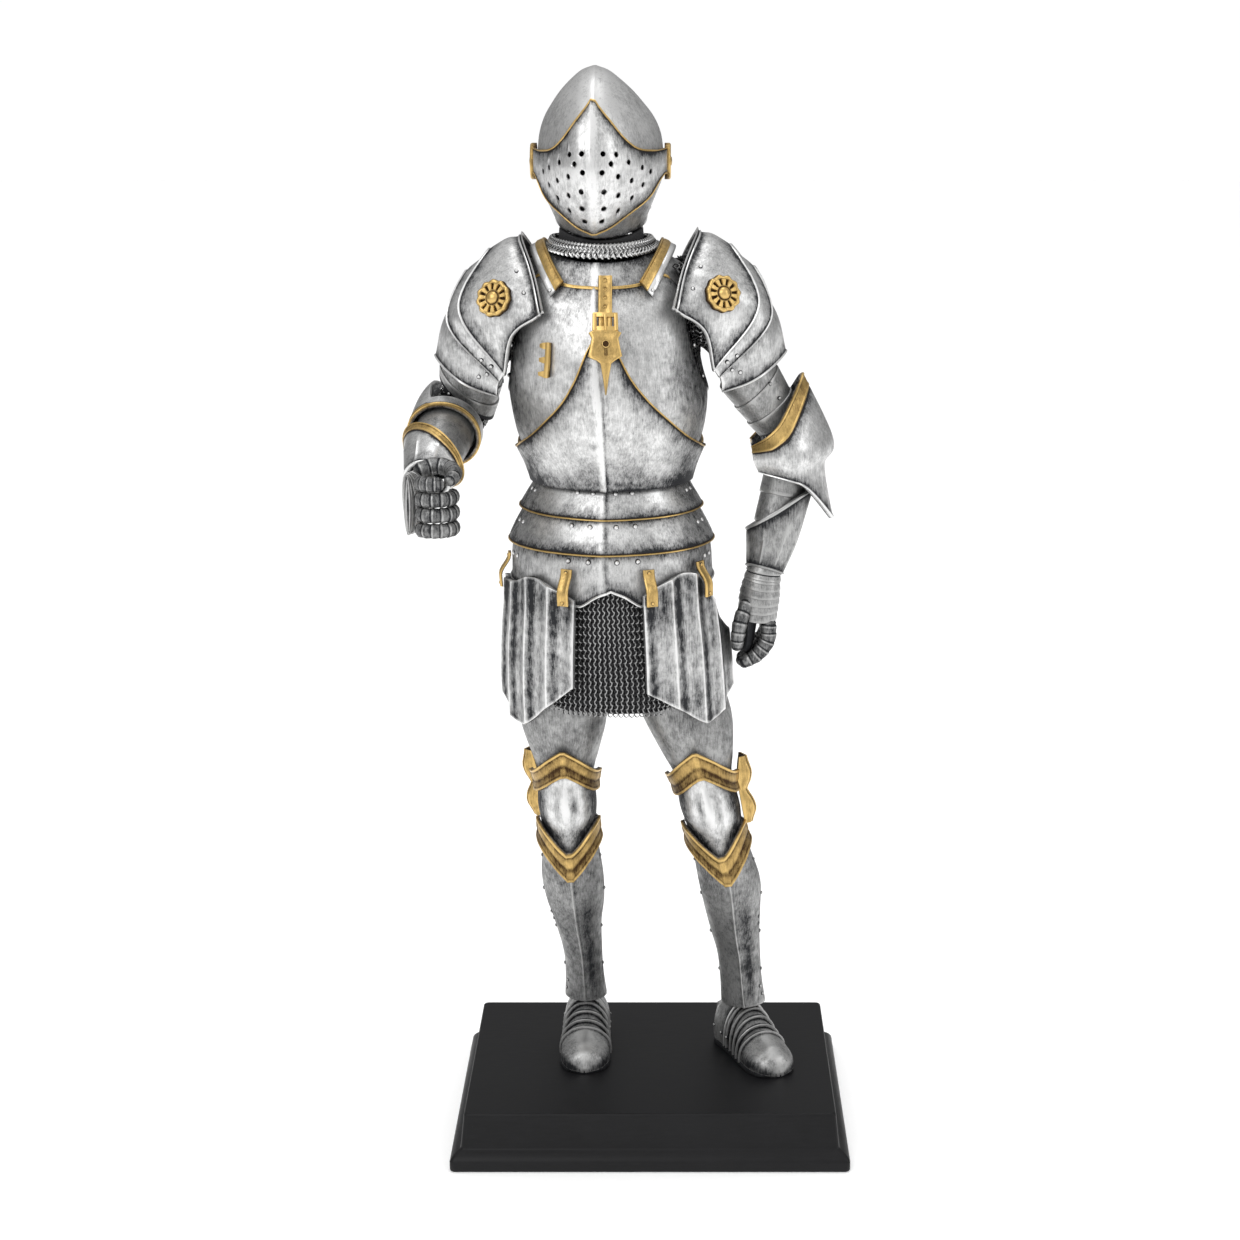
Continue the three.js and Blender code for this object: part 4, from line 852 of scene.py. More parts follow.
def helmet():
    ear = 88
    brow = lambda across: np.minimum(36, visor_top(across) - 7)
    skull = Piece("helmet_skull", "steel")
    comb = crest(0.12, 1.8, 0.15, glow=0.45)
    plate(
        skull, helmet_surface, NAPE_TURN + NECK_TURN, brow, -ear, ear, rows=64, columns=64,
        upper=BEAD, detail=comb,
    )
    nape = [(NAPE_TURN + 25, a) for a in range(-75, 76, 25)]
    rivets(skull, helmet_surface, nape, 0)
    # A strip behind each seam between skull and bevor, from the ear down to the neck, painted a little dark
    # as shade
    for side in (-1, 1):
        ear_end = np.array([HELMET["x"] + side * 17.3, 0, 300])
        neck_end = np.array([HELMET["x"] + side * 11.5, 0, 283.4])
        seam = lerp(ear_end, neck_end, np.linspace(0, 1, 8)[:, None])
        bar(skull, seam - (0, 2, 0), seam + (0, 2, 0), (side, 0, -0.33), 0.7, DUSK)
    skull.make(steel, sharp=26)

    bevor = Piece("helmet_bevor", "steel")
    # The bevor is painted darker as shade under the visor, with more painted shade along its foot
    plate(
        bevor, helmet_surface, -12, CHIN_TURN - NECK_TURN, -ear, ear, rows=30, columns=60,
        lower=DUSKY, detail=crest(0.1, 1.2, 0.3), tone=(0, 0.22, 0),
    )
    bevor.make(steel)

    visor = Piece("helmet_visor", "steel", body="visor")
    lift = GAP + 0.15 + 0.9
    plate(
        visor, visor_surface, visor_top, visor_foot, -86, 86, lift=lift, wall=0.9, rows=34, columns=110,
        upper=PIPED, lower=PIPED, detail=crest(0.1, 1.4, 0.15, glow=0.3),
    )
    look = visor.make(steel, sharp=26)
    drills = Piece("breath_drills", "steel", replaced=[])
    axes = []
    for turn, middle in BREATHS:
        for side in (-1, 1):
            t, a = np.array(float(turn)), np.array(side * middle - FACE_TURN * cos_deg(middle))
            axes.append((visor_surface(t, a), normals(visor_surface, t, a)))
            profile = [(0.5, 4, DARK), (BREATH_RADIUS, 4, DARK), (BREATH_RADIUS, -2, DARK)]
            turned_face(drills, *axes[-1], profile, sides=12)
    cut_holes(look, drills.make(steel), axes, BREATH_RADIUS)

    for name, side in (("right", -1), ("left", 1)):
        cap = Piece(f"visor_pivot_{name}", "gilt")
        centre = np.array([HELMET["x"] + side * (HELMET["half_width"] + GAP), HELMET["y"], HELMET["z"]])
        # Its raised rims are painted bright as highlights, its steps and underside dark as patina and painted
        # shade
        profile = [
            (0.4, 2.3, (1, 0, 0.8)), (1.1, 2.2, (1, 0, 0.8)), (1.5, 1.85, (1, 1, 0)),
            (1.9, 1.8, (1, 0.6, 0)),
            (3.6, 1.85, GILT), (4.3, 1.8, (1, 0.7, 0)), (4.6, 1.95, (1, 0, 0.8)), (5.0, 1.9, (1, 0, 0.8)),
            (5.3, 1.5, GILT), (5.3, 0.1, (1, 1, 0)), (2.2, 0.05, (1, 1, 0)), (2.2, -0.2, (1, 1, 0)),
        ]
        turned_face(cap, centre, (side, 0, 0), profile, sides=48)
        cap.make(gilt)


# ---------------------------------------------------------------- neck and torso

torso = form([
    (281, -14.2, 0, 15.0, 14.9, 15.6), (278.5, -14, 0, 17, 15.3, 16), (275.5, -13.9, 0, 22, 16, 17),
    (272.5, -13.8, 0, 27, 17.2, 18.2), (267.5, -13.7, 0, 31, 20, 20), (262, -13.7, 0, 32, 23, 21.2),
    (254, -13.7, 0, 31, 25.8, 22, 0.6), (247, -13.4, 0, 30, 27.6, 22, 1),
    (240.6, -13, 0, 29.6, 28.2, 21.8, 1), (234, -12.3, 0, 29.8, 28.2, 21.3, 1),
    (227, -12, 0, 29, 27.2, 20.5, 1), (221, -11.9, 0, 27.6, 25.6, 19.5, 1),
    (214, -11.7, 0, 24.6, 22.8, 18.2, 1), (208, -11.6, 0, 22.6, 20.8, 17.4, 1),
], BODY_TURN)
faulds = form([
    (211, -11.6, 0, 20.9, 19.3, 15.2, 1), (207, -11.6, 0, 23, 21, 17.1, 1),
    (199, -11.7, 0, 26.4, 23.4, 20.3, 1), (189, -11.7, 0, 29.7, 26, 23, 1),
    (179, -11.5, 0, 29.2, 26.8, 24.4, 1), (171, -11.4, 0, 29.4, 27.2, 25, 1),
], BODY_TURN)
neck = form([
    (286, -14.2, 0, 12.6, 13.6, 14.4), (281, -14.2, 0, 12.9, 13.7, 14.6), (275, -14.2, 0, 13.6, 14.2, 15),
])
neckline = even(
    (0, 267.6), (20, 268.4), (38, 271), (46, 267.5), (54, 255.5), (65, 246), (76, 239), (90, 235)
)
plackart_edge = even(
    (0, 256), (8, 249.5), (15, 242.2), (23, 236), (35, 230), (49, 224.8), (66, 221.2), (80, 219.3),
    (90, 219)
)
fauld_foot = even(
    (0, 178.4), (8, 176.5), (17, 173.6), (25, 174.6), (45, 176.6), (70, 177), (110, 178), (180, 180)
)


def collar_top(a):
    return lerp(280.5, 283.1, sin_deg(a) ** 2) - 2 * np.minimum(0, cos_deg(a))


def collar_foot(a):
    return lerp(275.3, 279.9, sin_deg(a) ** 2) - 4.2 * np.minimum(0, cos_deg(a))


def shoulder_mail(side):
    """Mail shows between the neck's straps and the pauldrons."""
    start, end = (52, 126) if side == "left" else (-126, -52)
    top = lambda a: 274.5 - 2.5 * np.abs(cos_deg(a))
    piece = Piece(f"shoulder_mail_{side}", "mail", replaced=[])
    plate(piece, torso, top, 262, start, end, lift=0.1, wall=0.6, columns=40, tone=DARK, every=4)
    mail(piece, torso, top, 262.5, start, end, lift=0.5)
    piece.make(ring_metal)


def armpit_mail(side):
    """Mail closes the side of the breast below the armhole."""
    start, end = (44, 136) if side == "left" else (-136, -44)
    piece = Piece(f"armpit_mail_{side}", "mail", replaced=[])
    plate(
        piece, torso, 263, 232, start, end, lift=-STEP - 0.9, wall=0.5, rows=14, columns=40, tone=DARK,
        every=4,
    )
    mail(piece, torso, 263, 233, start, end, lift=-STEP - 0.5)
    piece.make(ring_metal)


def middle_line(height, half_degrees, painted_highlight=0.9, wash_and_shade=0.35, at=BODY_TURN):
    """A fine raised line down the front, with a painted highlight on it and painted shade on one side of it.
    """

    def detail(down, angle):
        turned = np.abs((angle - at + 540) % 360 - 180)
        ridge = np.maximum(0, 1 - turned / half_degrees)
        beside = hump(turned, half_degrees * 1.2, half_degrees * 0.6) * (angle > at)
        return height * ridge, shown(0, wash_and_shade * beside, painted_highlight * ridge)

    return detail


def shade_sides_and_foot(detail, start, end, foot=0.0):
    """Paints shade on a plate toward its sides and its lower edge."""

    def shaded(down, angle):
        height, tone = detail(down, angle)
        turned = np.abs((angle - BODY_TURN + 540) % 360 - 180)
        wash_and_shade = 0.5 * smooth(turned, start, end) * (1 - smooth(turned, 88, 100))
        wash_and_shade += foot * smooth(down, 0.62, 0.95)
        tone[..., 1] = np.minimum(1, tone[..., 1] + wash_and_shade * (1 - tone[..., 2]))
        return height, tone

    return shaded


def torso_plates():
    collar = Piece("gorget_collar", "mail")
    plate(
        collar, neck, collar_top, lambda a: collar_foot(a) + 0.1, wall=0.9, lift=-0.3, rows=6, columns=72,
        tone=DARK, every=4,
    )
    collar.make(cloth)
    # A band of scales lies on the neck of the gorget
    band = Piece("gorget_band", "steel", replaced=[])
    band_top = lambda a: 279.7 + 1.4 * sin_deg(a) ** 2
    band_foot = lambda a: 275.9 + 2.2 * sin_deg(a) ** 2
    plate(band, torso, band_top, band_foot, lift=-0.6, wall=0.6, rows=8, columns=120, tone=(0, 0.25, 0))
    mail(band, torso, band_top, band_foot, lift=-0.4, pitch=1.2, drop=0.95, radius=0.6, wire=0.18)
    last_row = lambda a: band_foot(a) + 0.9
    mail(band, torso, last_row, band_foot, lift=-0.2, pitch=1.5, drop=0.9, radius=0.7, wire=0.22)
    band.make(steel)

    gorget = Piece("gorget_plate", "steel")
    gorget_top = lambda a: collar_foot(a) - 0.5
    # The gorget is painted darker as shade under the collar, darkest along its top edge
    plate(
        gorget, torso, gorget_top, 264, lift=lambda down, a: -STEP - 1.2 * down, rows=14, columns=96,
        upper=DUSKY, detail=middle_line(0.3, 2.5), tone=(0, 0.3, 0),
    )
    gorget.make(steel)

    breast = Piece("breastplate", "steel")
    # Painted shade darkens the neckline and the breast's sides
    plate(
        breast, torso, neckline, 211, -89.4, 89.4, rows=44, columns=110, upper=DUSKY,
        detail=shade_sides_and_foot(middle_line(0.35, 1.6), 34, 74),
    )
    # The gilt line runs along the neck only
    plate(
        breast, torso, lambda a: neckline(a) + 0.15, lambda a: neckline(a) - 0.7, -42, 42, lift=0.25,
        wall=0.7, rows=4, columns=60, tone=GILT,
    )
    rivets(breast, torso, [(250, -62), (250, 62), (240, -76), (240, 76)], 0.1)
    breast.make(steel)

    for side in ("right", "left"):
        shoulder_mail(side)
        armpit_mail(side)

    back = Piece("backplate", "steel")
    back_top = even((0, 273), (25, 273), (45, 271), (60, 257.5), (72, 245), (80, 239), (90, 235))

    def spine(down, angle):
        # Patina and painted shade in the groove down the spine, worn edges and painted highlights on the
        # ridges beside it
        x = np.abs(angle - 180)
        groove = hump(x, 0, 2.2)
        beside = hump(x, 5, 1.2)
        fade = smooth(down, 0.02, 0.15)
        tone = shown(0, 0.7 * groove * fade, 0.6 * beside * fade)
        return (0.35 * beside - 0.35 * groove) * fade, tone

    plate(
        back, torso, lambda a: back_top(a - 180), 209, 90.6, 269.4, rows=40, columns=100, upper=BEAD,
        detail=spine,
    )
    lower_edge = even((0, 244), (12, 236), (30, 229), (55, 223.5), (88, 219))
    plate(
        back, torso, lambda a: lower_edge(a - 180), 209, 92, 268, lift=STEP, rows=18, columns=100,
        upper=PIPED, detail=spine,
    )
    back.make(steel)

    plackart = Piece("plackart", "steel")
    flare = lambda down, a: STEP + 0.75 + 1.2 * np.maximum(0, down - 0.9)
    # Painted shade darkens the plackart's sides and foot, with a painted shadow line along its lower edge
    plate(
        plackart, torso, plackart_edge, 208.4, -89.4, 89.4, lift=flare, rows=34, columns=120, upper=PIPED,
        lower=DUSKY, detail=shade_sides_and_foot(middle_line(0.35, 1.6), 30, 66, 0.5),
    )
    plackart.make(steel)


def fauld_plates():
    tiled = lambda down, a: 1.75 * down
    ends = [(210.4, 199, PIPED), (200.9, 189, PIPED), (190.9, fauld_foot, BEAD)]
    for n, (top, bottom, edge) in enumerate(ends):
        lame = Piece(f"fauld_{n + 1}", "steel")
        # The top of each lame, under the lame above, is painted dark as shade
        under = (0, 0, 0, 1, 0), (0.5, 0, 0, 1, 0), (2.6, 0, 0, 0.45, 0), (4.5, 0, 0, 0, 0)
        plate(
            lame, faulds, top, bottom, lift=tiled, rows=12, columns=150, upper=under, lower=edge,
            detail=shade_sides_and_foot(middle_line(0.3, 1.3, wash_and_shade=0.6), 30, 75),
        )
        z = top - 3.6
        spots = [(z, a + BODY_TURN) for a in (-20, -8, 8, 20)]
        spots += [(z - 1.6, s * a) for a in (68, 76, 104, 112, 160, 172) for s in (-1, 1)]
        rivets(lame, faulds, spots, 1.75 * 3.6 / 11.5, radius=0.68, tone=(0, 0.15, 0.5))
        lame.make(steel)


# ---------------------------------------------------------------- mail skirt and tassets

skirt = form([
    (188, -11.8, 0, 26.8, 23.4, 20.6), (179, -11.6, 0, 27.7, 24.6, 22.4), (165, -11.3, 0, 29.4, 25.4, 23.6),
    (150, -10.7, 0, 32, 25.3, 23.8), (139, -10.6, 0, 32.2, 24.8, 23.6),
])
skirt_hem = even((0, 139.3), (35, 141), (60, 151), (90, 160), (125, 149), (180, 141))
# Each tasset: its first and last angle, surface, upper edge, lower edge, and its straps' angles
TASSETS = {
    "right": (
        -97, -19,
        [(184, -11.5, 0, 31, 29.2, 26.5), (172, -11.5, 0, 31.1, 29.4, 26.8), (160, -11.6, 0, 31.9, 29, 27),
         (147, -11.7, 0, 32.1, 28.8, 27), (134, -11.7, 0, 31.7, 28, 26.5)],
        [(-97, 177), (-65, 178.6), (-47, 181.6), (-30, 178.8), (-19, 176.2)],
        [(-97, 143.5), (-90, 143.3), (-55, 134.6), (-35, 142), (-19, 149.3)],
        (-84, -24.5),
    ),
    "left": (
        17, 97,
        [(184, -11.5, 0, 31.4, 29.2, 26.5), (172, -11.5, 0, 32.4, 29.4, 26.8), (160, -11.4, 0, 33.9, 29, 27),
         (147, -11.3, 0, 35, 28.8, 27), (134, -11.2, 0, 35.8, 28, 26.5)],
        [(17, 177.6), (25, 180), (43, 183.2), (57, 179.6), (70, 168.5), (90, 157), (97, 154)],
        [(17, 147.6), (35, 141), (52, 135.4), (75, 141.5), (90, 146.5), (97, 147)],
        (21, 57),
    ),
}
STRAP_MIDDLE, STRAP_HALF = 180, 5.3
STRAP_HALF_WIDTH, STRAP_THICKNESS = 1.75, 0.75
STRAP_BORDERS = ((0, 0), (0.06, 0.16), (0.14, 0.14), (0.2, 0), (0.8, 0), (0.86, 0.14), (0.94, 0.16), (1, 0))
FLUTES = 5


def tassets():
    for side, (start, end, rows, peaks, foot, straps) in TASSETS.items():
        surface = form(rows)
        tasset = Piece(f"tasset_{side}", "steel")

        def flutes(down, angle):
            # Painted shade fills each flute's hollow, more on one side, and darkens the top under the faulds
            # and the foot; a painted highlight runs along each crease
            phase = (angle - start) / (end - start) * FLUTES % 1
            ridge = np.abs(2 * phase - 1) ** 1.5
            crease = hump(np.minimum(phase, 1 - phase), 0, 0.03)
            hollow = hump(phase, 0.24, 0.16) + 0.45 * hump(phase, 0.72, 0.14)
            dusk = 0.5 * hump(down, 0.12, 0.2) + 0.25 * smooth(down, 0.7, 1)
            wash_and_shade = (0.55 * hollow + 0.6 * dusk + 0.1) * (1 - crease)
            tone = shown(0, wash_and_shade, 0.7 * crease * (1 - dusk))
            return 1.1 * ridge + 0.2 * crease, tone

        plate(
            tasset, surface, uneven(*peaks), uneven(*foot), start, end, lift=STEP, rows=26, columns=150,
            detail=flutes,
        )
        tasset.make(steel)
        for n, middle in enumerate(straps):
            piece = Piece(f"tasset_strap_{side}_{n + 1}", "gilt")
            z = np.linspace(STRAP_MIDDLE + STRAP_HALF, STRAP_MIDDLE - STRAP_HALF, 12)
            mid = surface(z, middle + 0 * z)
            normal = normals(surface, z, middle + 0 * z)
            aside = unit(np.cross(normal, (0, 0, 1.0)))
            step = smooth(np.linspace(0, 1, 12), 0.1, 0.65)
            bulge = lerp(0.0, 2.6, step)[:, None] + 0.3 * np.sin(np.linspace(0, math.pi, 12))[:, None]
            centre = mid + normal * bulge
            half = aside * STRAP_HALF_WIDTH
            bar(piece, centre - half, centre + half, normal, STRAP_THICKNESS, GILT, levels=STRAP_BORDERS)
            for k in (1, -2):
                rivet(piece, centre[k] + normal[k] * STRAP_THICKNESS, normal[k], 0.5, (1, 0, 0.6))
            piece.make(gilt)


def mail_skirt():
    fold = lambda down, angle: 0.4 * down * sin_deg(angle * 6)
    backing = Piece("mail_skirt", "mail")
    plate(
        backing, skirt, 187, lambda a: skirt_hem(a) + 0.5, wall=0.45, lift=lambda d, a: fold(d, a) - 0.35,
        rows=24, columns=120, tone=DARK, every=4,
    )
    sheet = backing.make(cloth)
    rings = Piece("mail_skirt_rings", "mail", replaced=[])
    mail(rings, skirt, 184, skirt_hem, lift=fold, pitch=1.38, drop=1.2, radius=0.82, wire=0.17)
    ring_look = rings.make(ring_metal)


# ---------------------------------------------------------------- breast fittings


def breast_point(x, z, out=0.0):
    angle = 0.0
    for _ in range(14):
        angle += (x - torso(z, angle)[..., 0]) * 1.6
    z, angle = np.array(float(z)), np.array(float(angle))
    normal = normals(torso, z, angle)
    return torso(z, angle) + normal * out, normal


def on_breast(piece, outline, out, thickness, tone=GILT, levels=((0, 0), (1, 0)), finer=5):
    """A strip over the breast through rows of (left, right, height)."""
    n = np.linspace(0, len(outline) - 1, (len(outline) - 1) * finer + 1)
    left, right, z = (np.interp(n, range(len(outline)), column) for column in zip(*outline))
    a = [breast_point(x, h, out) for x, h in zip(left, z)]
    b = [breast_point(x, h, out) for x, h in zip(right, z)]
    up = [breast_point((x + y) / 2, h)[1] for x, y, h in zip(left, right, z)]
    bar(piece, [p for p, _ in a], [p for p, _ in b], up, thickness, tone, levels=levels)


CHEST_MIDDLE = -12.6  # the fittings' middle line


def centred(*rows):
    """Rows of (left, right, height) for a strip on the chest's middle, from (half-width, height)."""
    return [(CHEST_MIDDLE - half, CHEST_MIDDLE + half, z) for half, z in rows]


def breast_fittings():
    middle = CHEST_MIDDLE
    raised = ((0, 0), (0.08, 0.14), (0.2, 0.12), (0.26, 0), (0.74, 0), (0.8, 0.12), (0.92, 0.14), (1, 0))
    hook = Piece("chest_strap", "gilt")
    on_breast(hook, centred((2, 270.3), (2, 259.8)), 0.7, 0.8, levels=raised)
    for z in (269, 266.7, 264.4, 262.1):
        at, normal = breast_point(middle, z, 1.52)
        # Each strap hole is a shallow dip painted dark, as the shade inside a hole, with a painted highlight
        # round its rim
        hole = [(0.12, -0.1, DARK), (0.4, -0.05, DARK), (0.5, 0.14, BRIGHT), (0.72, 0.02, (1, 0.3, 0))]
        turned_face(hook, at, normal, [(r, h, (1, t[1], t[2])) for r, h, t in hole], sides=12)
    hook.make(gilt)

    buckle = Piece("chest_buckle", "gilt")
    out = STEP + GAP + 1
    left, right, high, low = middle - 3.4, middle + 3.4, 259.6, 255.3
    on_breast(buckle, [(left, left + 1.1, high), (left, left + 1.1, low)], out, 1.1)
    on_breast(buckle, [(right - 1.1, right, high), (right - 1.1, right, low)], out, 1.1)
    for z in (high, low + 0.7):
        on_breast(buckle, [(left, right, z + 0.3), (left, right, z - 0.8)], out, 1.0)
    on_breast(buckle, centred((1.9, 259.8), (1.9, 254.6)), out - 0.5, 0.7, levels=raised)
    on_breast(buckle, centred((0.45, 259.4), (0.3, 255.2)), out + 0.4, 0.85)
    tab = centred(
        (3.3, 255.2), (4.3, 254.6), (3.5, 253.2), (3.9, 250.6), (4.4, 248.4), (2.6, 247.4), (1.5, 246.6)
    )
    on_breast(buckle, tab, out, 0.9, levels=((0, 0), (0.1, 0.2), (0.2, 0), (0.8, 0), (0.9, 0.2), (1, 0)))
    # A keyhole on the tab: a slot and a round hole painted dark as the shade inside them, with a painted
    # highlight round the hole
    on_breast(buckle, centred((0.45, 251.6), (0.45, 248.7)), out + 0.5, 0.45, tone=(1, 1, 0))
    at, normal = breast_point(middle, 251.6, out + 0.92)
    hole = [(0.1, 0.05, DARK), (0.85, 0.05, DARK), (1.0, 0.14, (1, 0, 0.7)), (1.25, 0.0, (1, 0.6, 0))]
    turned_face(buckle, at, normal, [(r, h, (1, t[1], t[2])) for r, h, t in hole], sides=16)
    spike = centred((1.5, 246.8), (0.8, 243), (0.15, 238))
    on_breast(buckle, spike, out, 0.7, levels=((0, 0), (0.5, 0.45), (1, 0)))
    buckle.make(gilt)

    rest = Piece("lance_rest", "gilt")
    x = -29.9
    on_breast(rest, [(x + 0.7, x + 1.9, 252), (x + 0.5, x + 1.7, 247), (x + 0.1, x + 1.3, 242)], GAP, 1.5)
    for z, reach in ((251, 1.1), (247, 1.3), (243, 1.6)):
        ends = ((0, 0.9), (reach, 0.5), (reach, -0.5), (0, -0.9))
        prong = [(x - length, x + 0.8, z + height) for length, height in ends]
        on_breast(rest, prong, GAP, 1.3)
    rest.make(gilt)


def shoulder_straps():
    lines = [
        ((-24.6, -19.6, 269.2), (-28.4, -21, 264.8)), ((-27.6, -15.4, 274), (-31.6, -15.6, 270.6)),
        ((-30, -7.5, 278), (-34.3, -7.5, 275.6)), ((-30.6, 1, 279), (-35, 1, 276.8)),
        ((-30, 9.5, 277.4), (-34.3, 9.5, 275.2)), ((-27.6, 18, 272.2), (-31.6, 18, 269.6)),
    ]
    n = np.linspace(0, 5, 31)
    inner, outer = (
        np.stack([hermite(range(6), [line[s][k] for line in lines])(n) for k in range(3)], -1) for s in (0, 1)
    )
    up = unit((inner + outer) / 2 - (-20, 0, 255))
    for name, flip in (("right", 1), ("left", -1)):
        strap = Piece(f"shoulder_strap_{name}", "steel")
        turn = lambda p: p * (flip, 1, 1) + (COLLAR_X - flip * COLLAR_X, 0, 0)
        a, b, u = turn(inner), turn(outer), up * (flip, 1, 1)
        split = lerp(a, b, 0.6)
        raised = ((0, 0), (0.1, 0.12), (0.2, -0.2), (0.32, 0), (0.85, 0.05), (1, -0.15))
        bar(strap, a, split, u, 1.25, GILT, levels=raised)
        bar(strap, split, b, u, 1.0, BARE)
        rivet(strap, split[1] * 0.35 + b[1] * 0.65 + u[1], u[1], 0.55)
        strap.make(steel)


# ---------------------------------------------------------------- shoulders and arms

pauldron = loops([
    ((-29.4, -22.6, 259.8), (-33.4, -15, 270.6), (-37.8, 0, 278.8)),
    ((-38.6, -21.4, 254.2), (-41.6, -17.5, 267.6), (-41.4, 0, 278.8)),
    ((-41.6, -17.2, 242.4), (-54.2, -14.5, 260.7), (-46.5, 0, 275.8)),
    ((-43, -15.8, 239), (-58.4, -10.8, 256), (-53.5, 1, 270.2)),
    ((-43.6, -14.6, 236.6), (-59.4, -10.4, 247.2), (-62.2, 2.5, 256.5)),
    ((-44, -14, 234), (-56.8, -11.6, 238.4), (-65.4, 4, 244.4)),
])
# The raised double line along the pauldron's neck edge: its ridges painted bright as highlights, the groove
# between them dark with patina and painted shade, and the band below dark with painted shade
HAUTE = [
    (0, 0.1, 0, 0, 0.7), (0.2, 0.5, 0, 0, 1), (0.6, 0.5, 0, 0, 0.8), (0.9, 0, 0, 1, 0),
    (1.3, -0.1, 0, 1, 0),
    (1.6, 0.3, 0, 0, 1), (2.0, 0.4, 0, 0, 0.8), (2.4, 0.1, 0, 0.8, 0), (3.4, 0, 0, 0.5, 0), (5, 0, 0, 0, 0),
]


def pauldrons():
    for name in ("right", "left"):
        surface = pauldron if name == "right" else mirrored(pauldron, LEFT_SHOULDER_RAISED)
        flip = 1 if name == "right" else -1
        main = Piece(f"pauldron_{name}", "steel")
        plate(
            main, surface, 0, 2.12, -90, 90, lift=lambda d, a: STEP + 1.4 * np.maximum(0, 1 - d * 5),
            rows=34, columns=90, upper=HAUTE, lower=BEAD, side=BEAD,
        )
        rivets(main, surface, [(0.5, -60), (0.62, -38), (0.5, 60), (0.62, 38)], STEP + 0.1, radius=0.5)
        main.make(steel)
        upper = Piece(f"pauldron_lame_upper_{name}", "steel")
        plate(
            upper, surface, 1.9, 3.1, -88, 88, lift=lambda d, a: -0.35 + 1.2 * d, rows=16, columns=80,
            upper=SHADED, lower=BEAD,
        )
        rivets(upper, surface, [(2.55, -80), (2.8, -74), (2.55, 80), (2.8, 74)], 0.55, radius=0.55)
        upper.make(steel)
        lower = Piece(f"pauldron_lame_lower_{name}", "steel")
        plate(
            lower, surface, 2.95, 5, -86, 86, lift=-0.75, rows=24, columns=80, upper=SHADED, lower=BEAD
        )
        rivets(lower, surface, [(3.6, -78), (4.1, -72), (3.6, 78), (4.1, 72)], -0.7, radius=0.55)
        lower.make(steel)
        rosette(name, flip)


def rosette(name, flip):
    """A gilt rosette of eleven petals round a boss: its piercings are shallow dips painted dark as the shade
    inside holes, and the ribs between them are painted bright as highlights.
    """
    petals = 11
    centre = np.array([-44.9, -20.8, 264.6])
    normal = np.array([-0.42, -0.85, 0.3])
    if flip < 0:
        centre = centre * (-1, 1, 1) + (2 * MIRROR_X, 0, LEFT_SHOULDER_RAISED)
        normal = normal * (-1, 1, 1)

    def shape(r, h, tone, angle):
        wave = np.cos(petals * angle)
        tone = np.array(tone, float)
        if 2.4 < r < 4.3:
            hole = smooth(wave, 0.15, 0.55)
            h = h - 0.75 * hole
            tone[:, 1] = np.maximum(tone[:, 1], hole)
            tone[:, 2] = 0.7 * (1 - hole)
        if r > 4.4:
            r = r * (1 + 0.035 * wave)
            h = h + 0.12 * wave
        return r + 0 * angle, h + 0 * angle, tone

    profile = [
        (0.3, 2.1, (1, 0, 1)), (1.0, 1.95, (1, 0, 0.8)), (1.6, 1.5, (1, 0, 0.3)), (1.95, 0.95, (1, 1, 0)),
        (2.2, 0.95, (1, 0.5, 0)), (2.35, 1.0, GILT), (2.7, 1.0, GILT), (4.0, 0.95, GILT),
        (4.35, 1.0, (1, 0.3, 0)), (4.6, 1.15, (1, 0, 0.9)), (5.0, 1.05, (1, 0, 0.8)),
        (5.35, 0.6, (1, 0.4, 0)), (5.45, -0.3, (1, 1, 0)),
    ]
    piece = Piece(f"rosette_{name}", "gilt")
    turned_face(piece, centre, normal, profile, sides=88, shape=shape)
    piece.make(gilt)


ARMS = {
    "right": {
        "upper": [(-50.5, 0, 256, 9.4, 9.2, 9.2), (-52.3, 2.4, 246, 9.8, 9.4, 9.4),
                  (-54.9, 6, 235, 9.9, 9.6, 9.6), (-57.2, 9.5, 224, 9.6, 9.4, 9.4)],
        "upper_top": lambda a: 1.1 + 0.15 * sin_deg(a),
        "upper_foot": lambda a: 2.3 + 0.45 * sin_deg(a),
        "fore": [(-58.6, 22, 230, 5, 5, 6), (-59.6, 13, 227.3, 9.4, 9, 9.6),
                 (-61.2, -2.5, 223.2, 9.8, 9.6, 9.4),
                 (-63, -17, 217.8, 8.4, 8.2, 8), (-64.8, -30.5, 212.6, 6, 5.8, 5.8)],
        "ahead": (0, 0.3, 1),
        "vambrace": (2.05, 3.2),
        "cuff_top": lambda a: 3 + 0.45 * sin_deg(a),
    },
    "left": {
        "upper": [(21, 0, 254, 9.4, 9.2, 9.2), (28.6, 1.5, 240.5, 9.2, 9, 9), (35, 3, 231, 8.6, 8.4, 8.4),
                  (41, 4.2, 222, 7.9, 7.8, 7.8)],
        "upper_top": lambda a: 0.85 - 0.2 * sin_deg(a),
        "upper_foot": lambda a: 2.85 + 0 * a,
        "fore": [(43.2, 4.4, 217, 8, 7.8, 7.8), (41.2, 3.2, 206, 7.6, 7.4, 7.4),
                 (37.6, 0, 190, 6.9, 6.4, 6.4), (35, -3, 179.6, 5, 4.8, 4.8)],
        "ahead": (0, -1, 0),
        "vambrace": (0.3, 2.3),
        "cuff_top": lambda a: 1.48 - 0.48 * sin_deg(a),
    },
}
left_couter = loops([
    ((31.5, -3, 217.5), (38.4, -8.6, 225.3), (45.4, 3, 239)),
    ((31.4, -5, 214.6), (43.4, -9.6, 217), (55, 4.4, 218.6)),
    ((32.2, -5.2, 212.4), (43.6, -8.8, 211.6), (52.4, 4.4, 210.8)),
    ((33.2, -5, 210.8), (45.2, -7.6, 207), (55.2, 4.4, 194)),
])
left_couter.up = -1
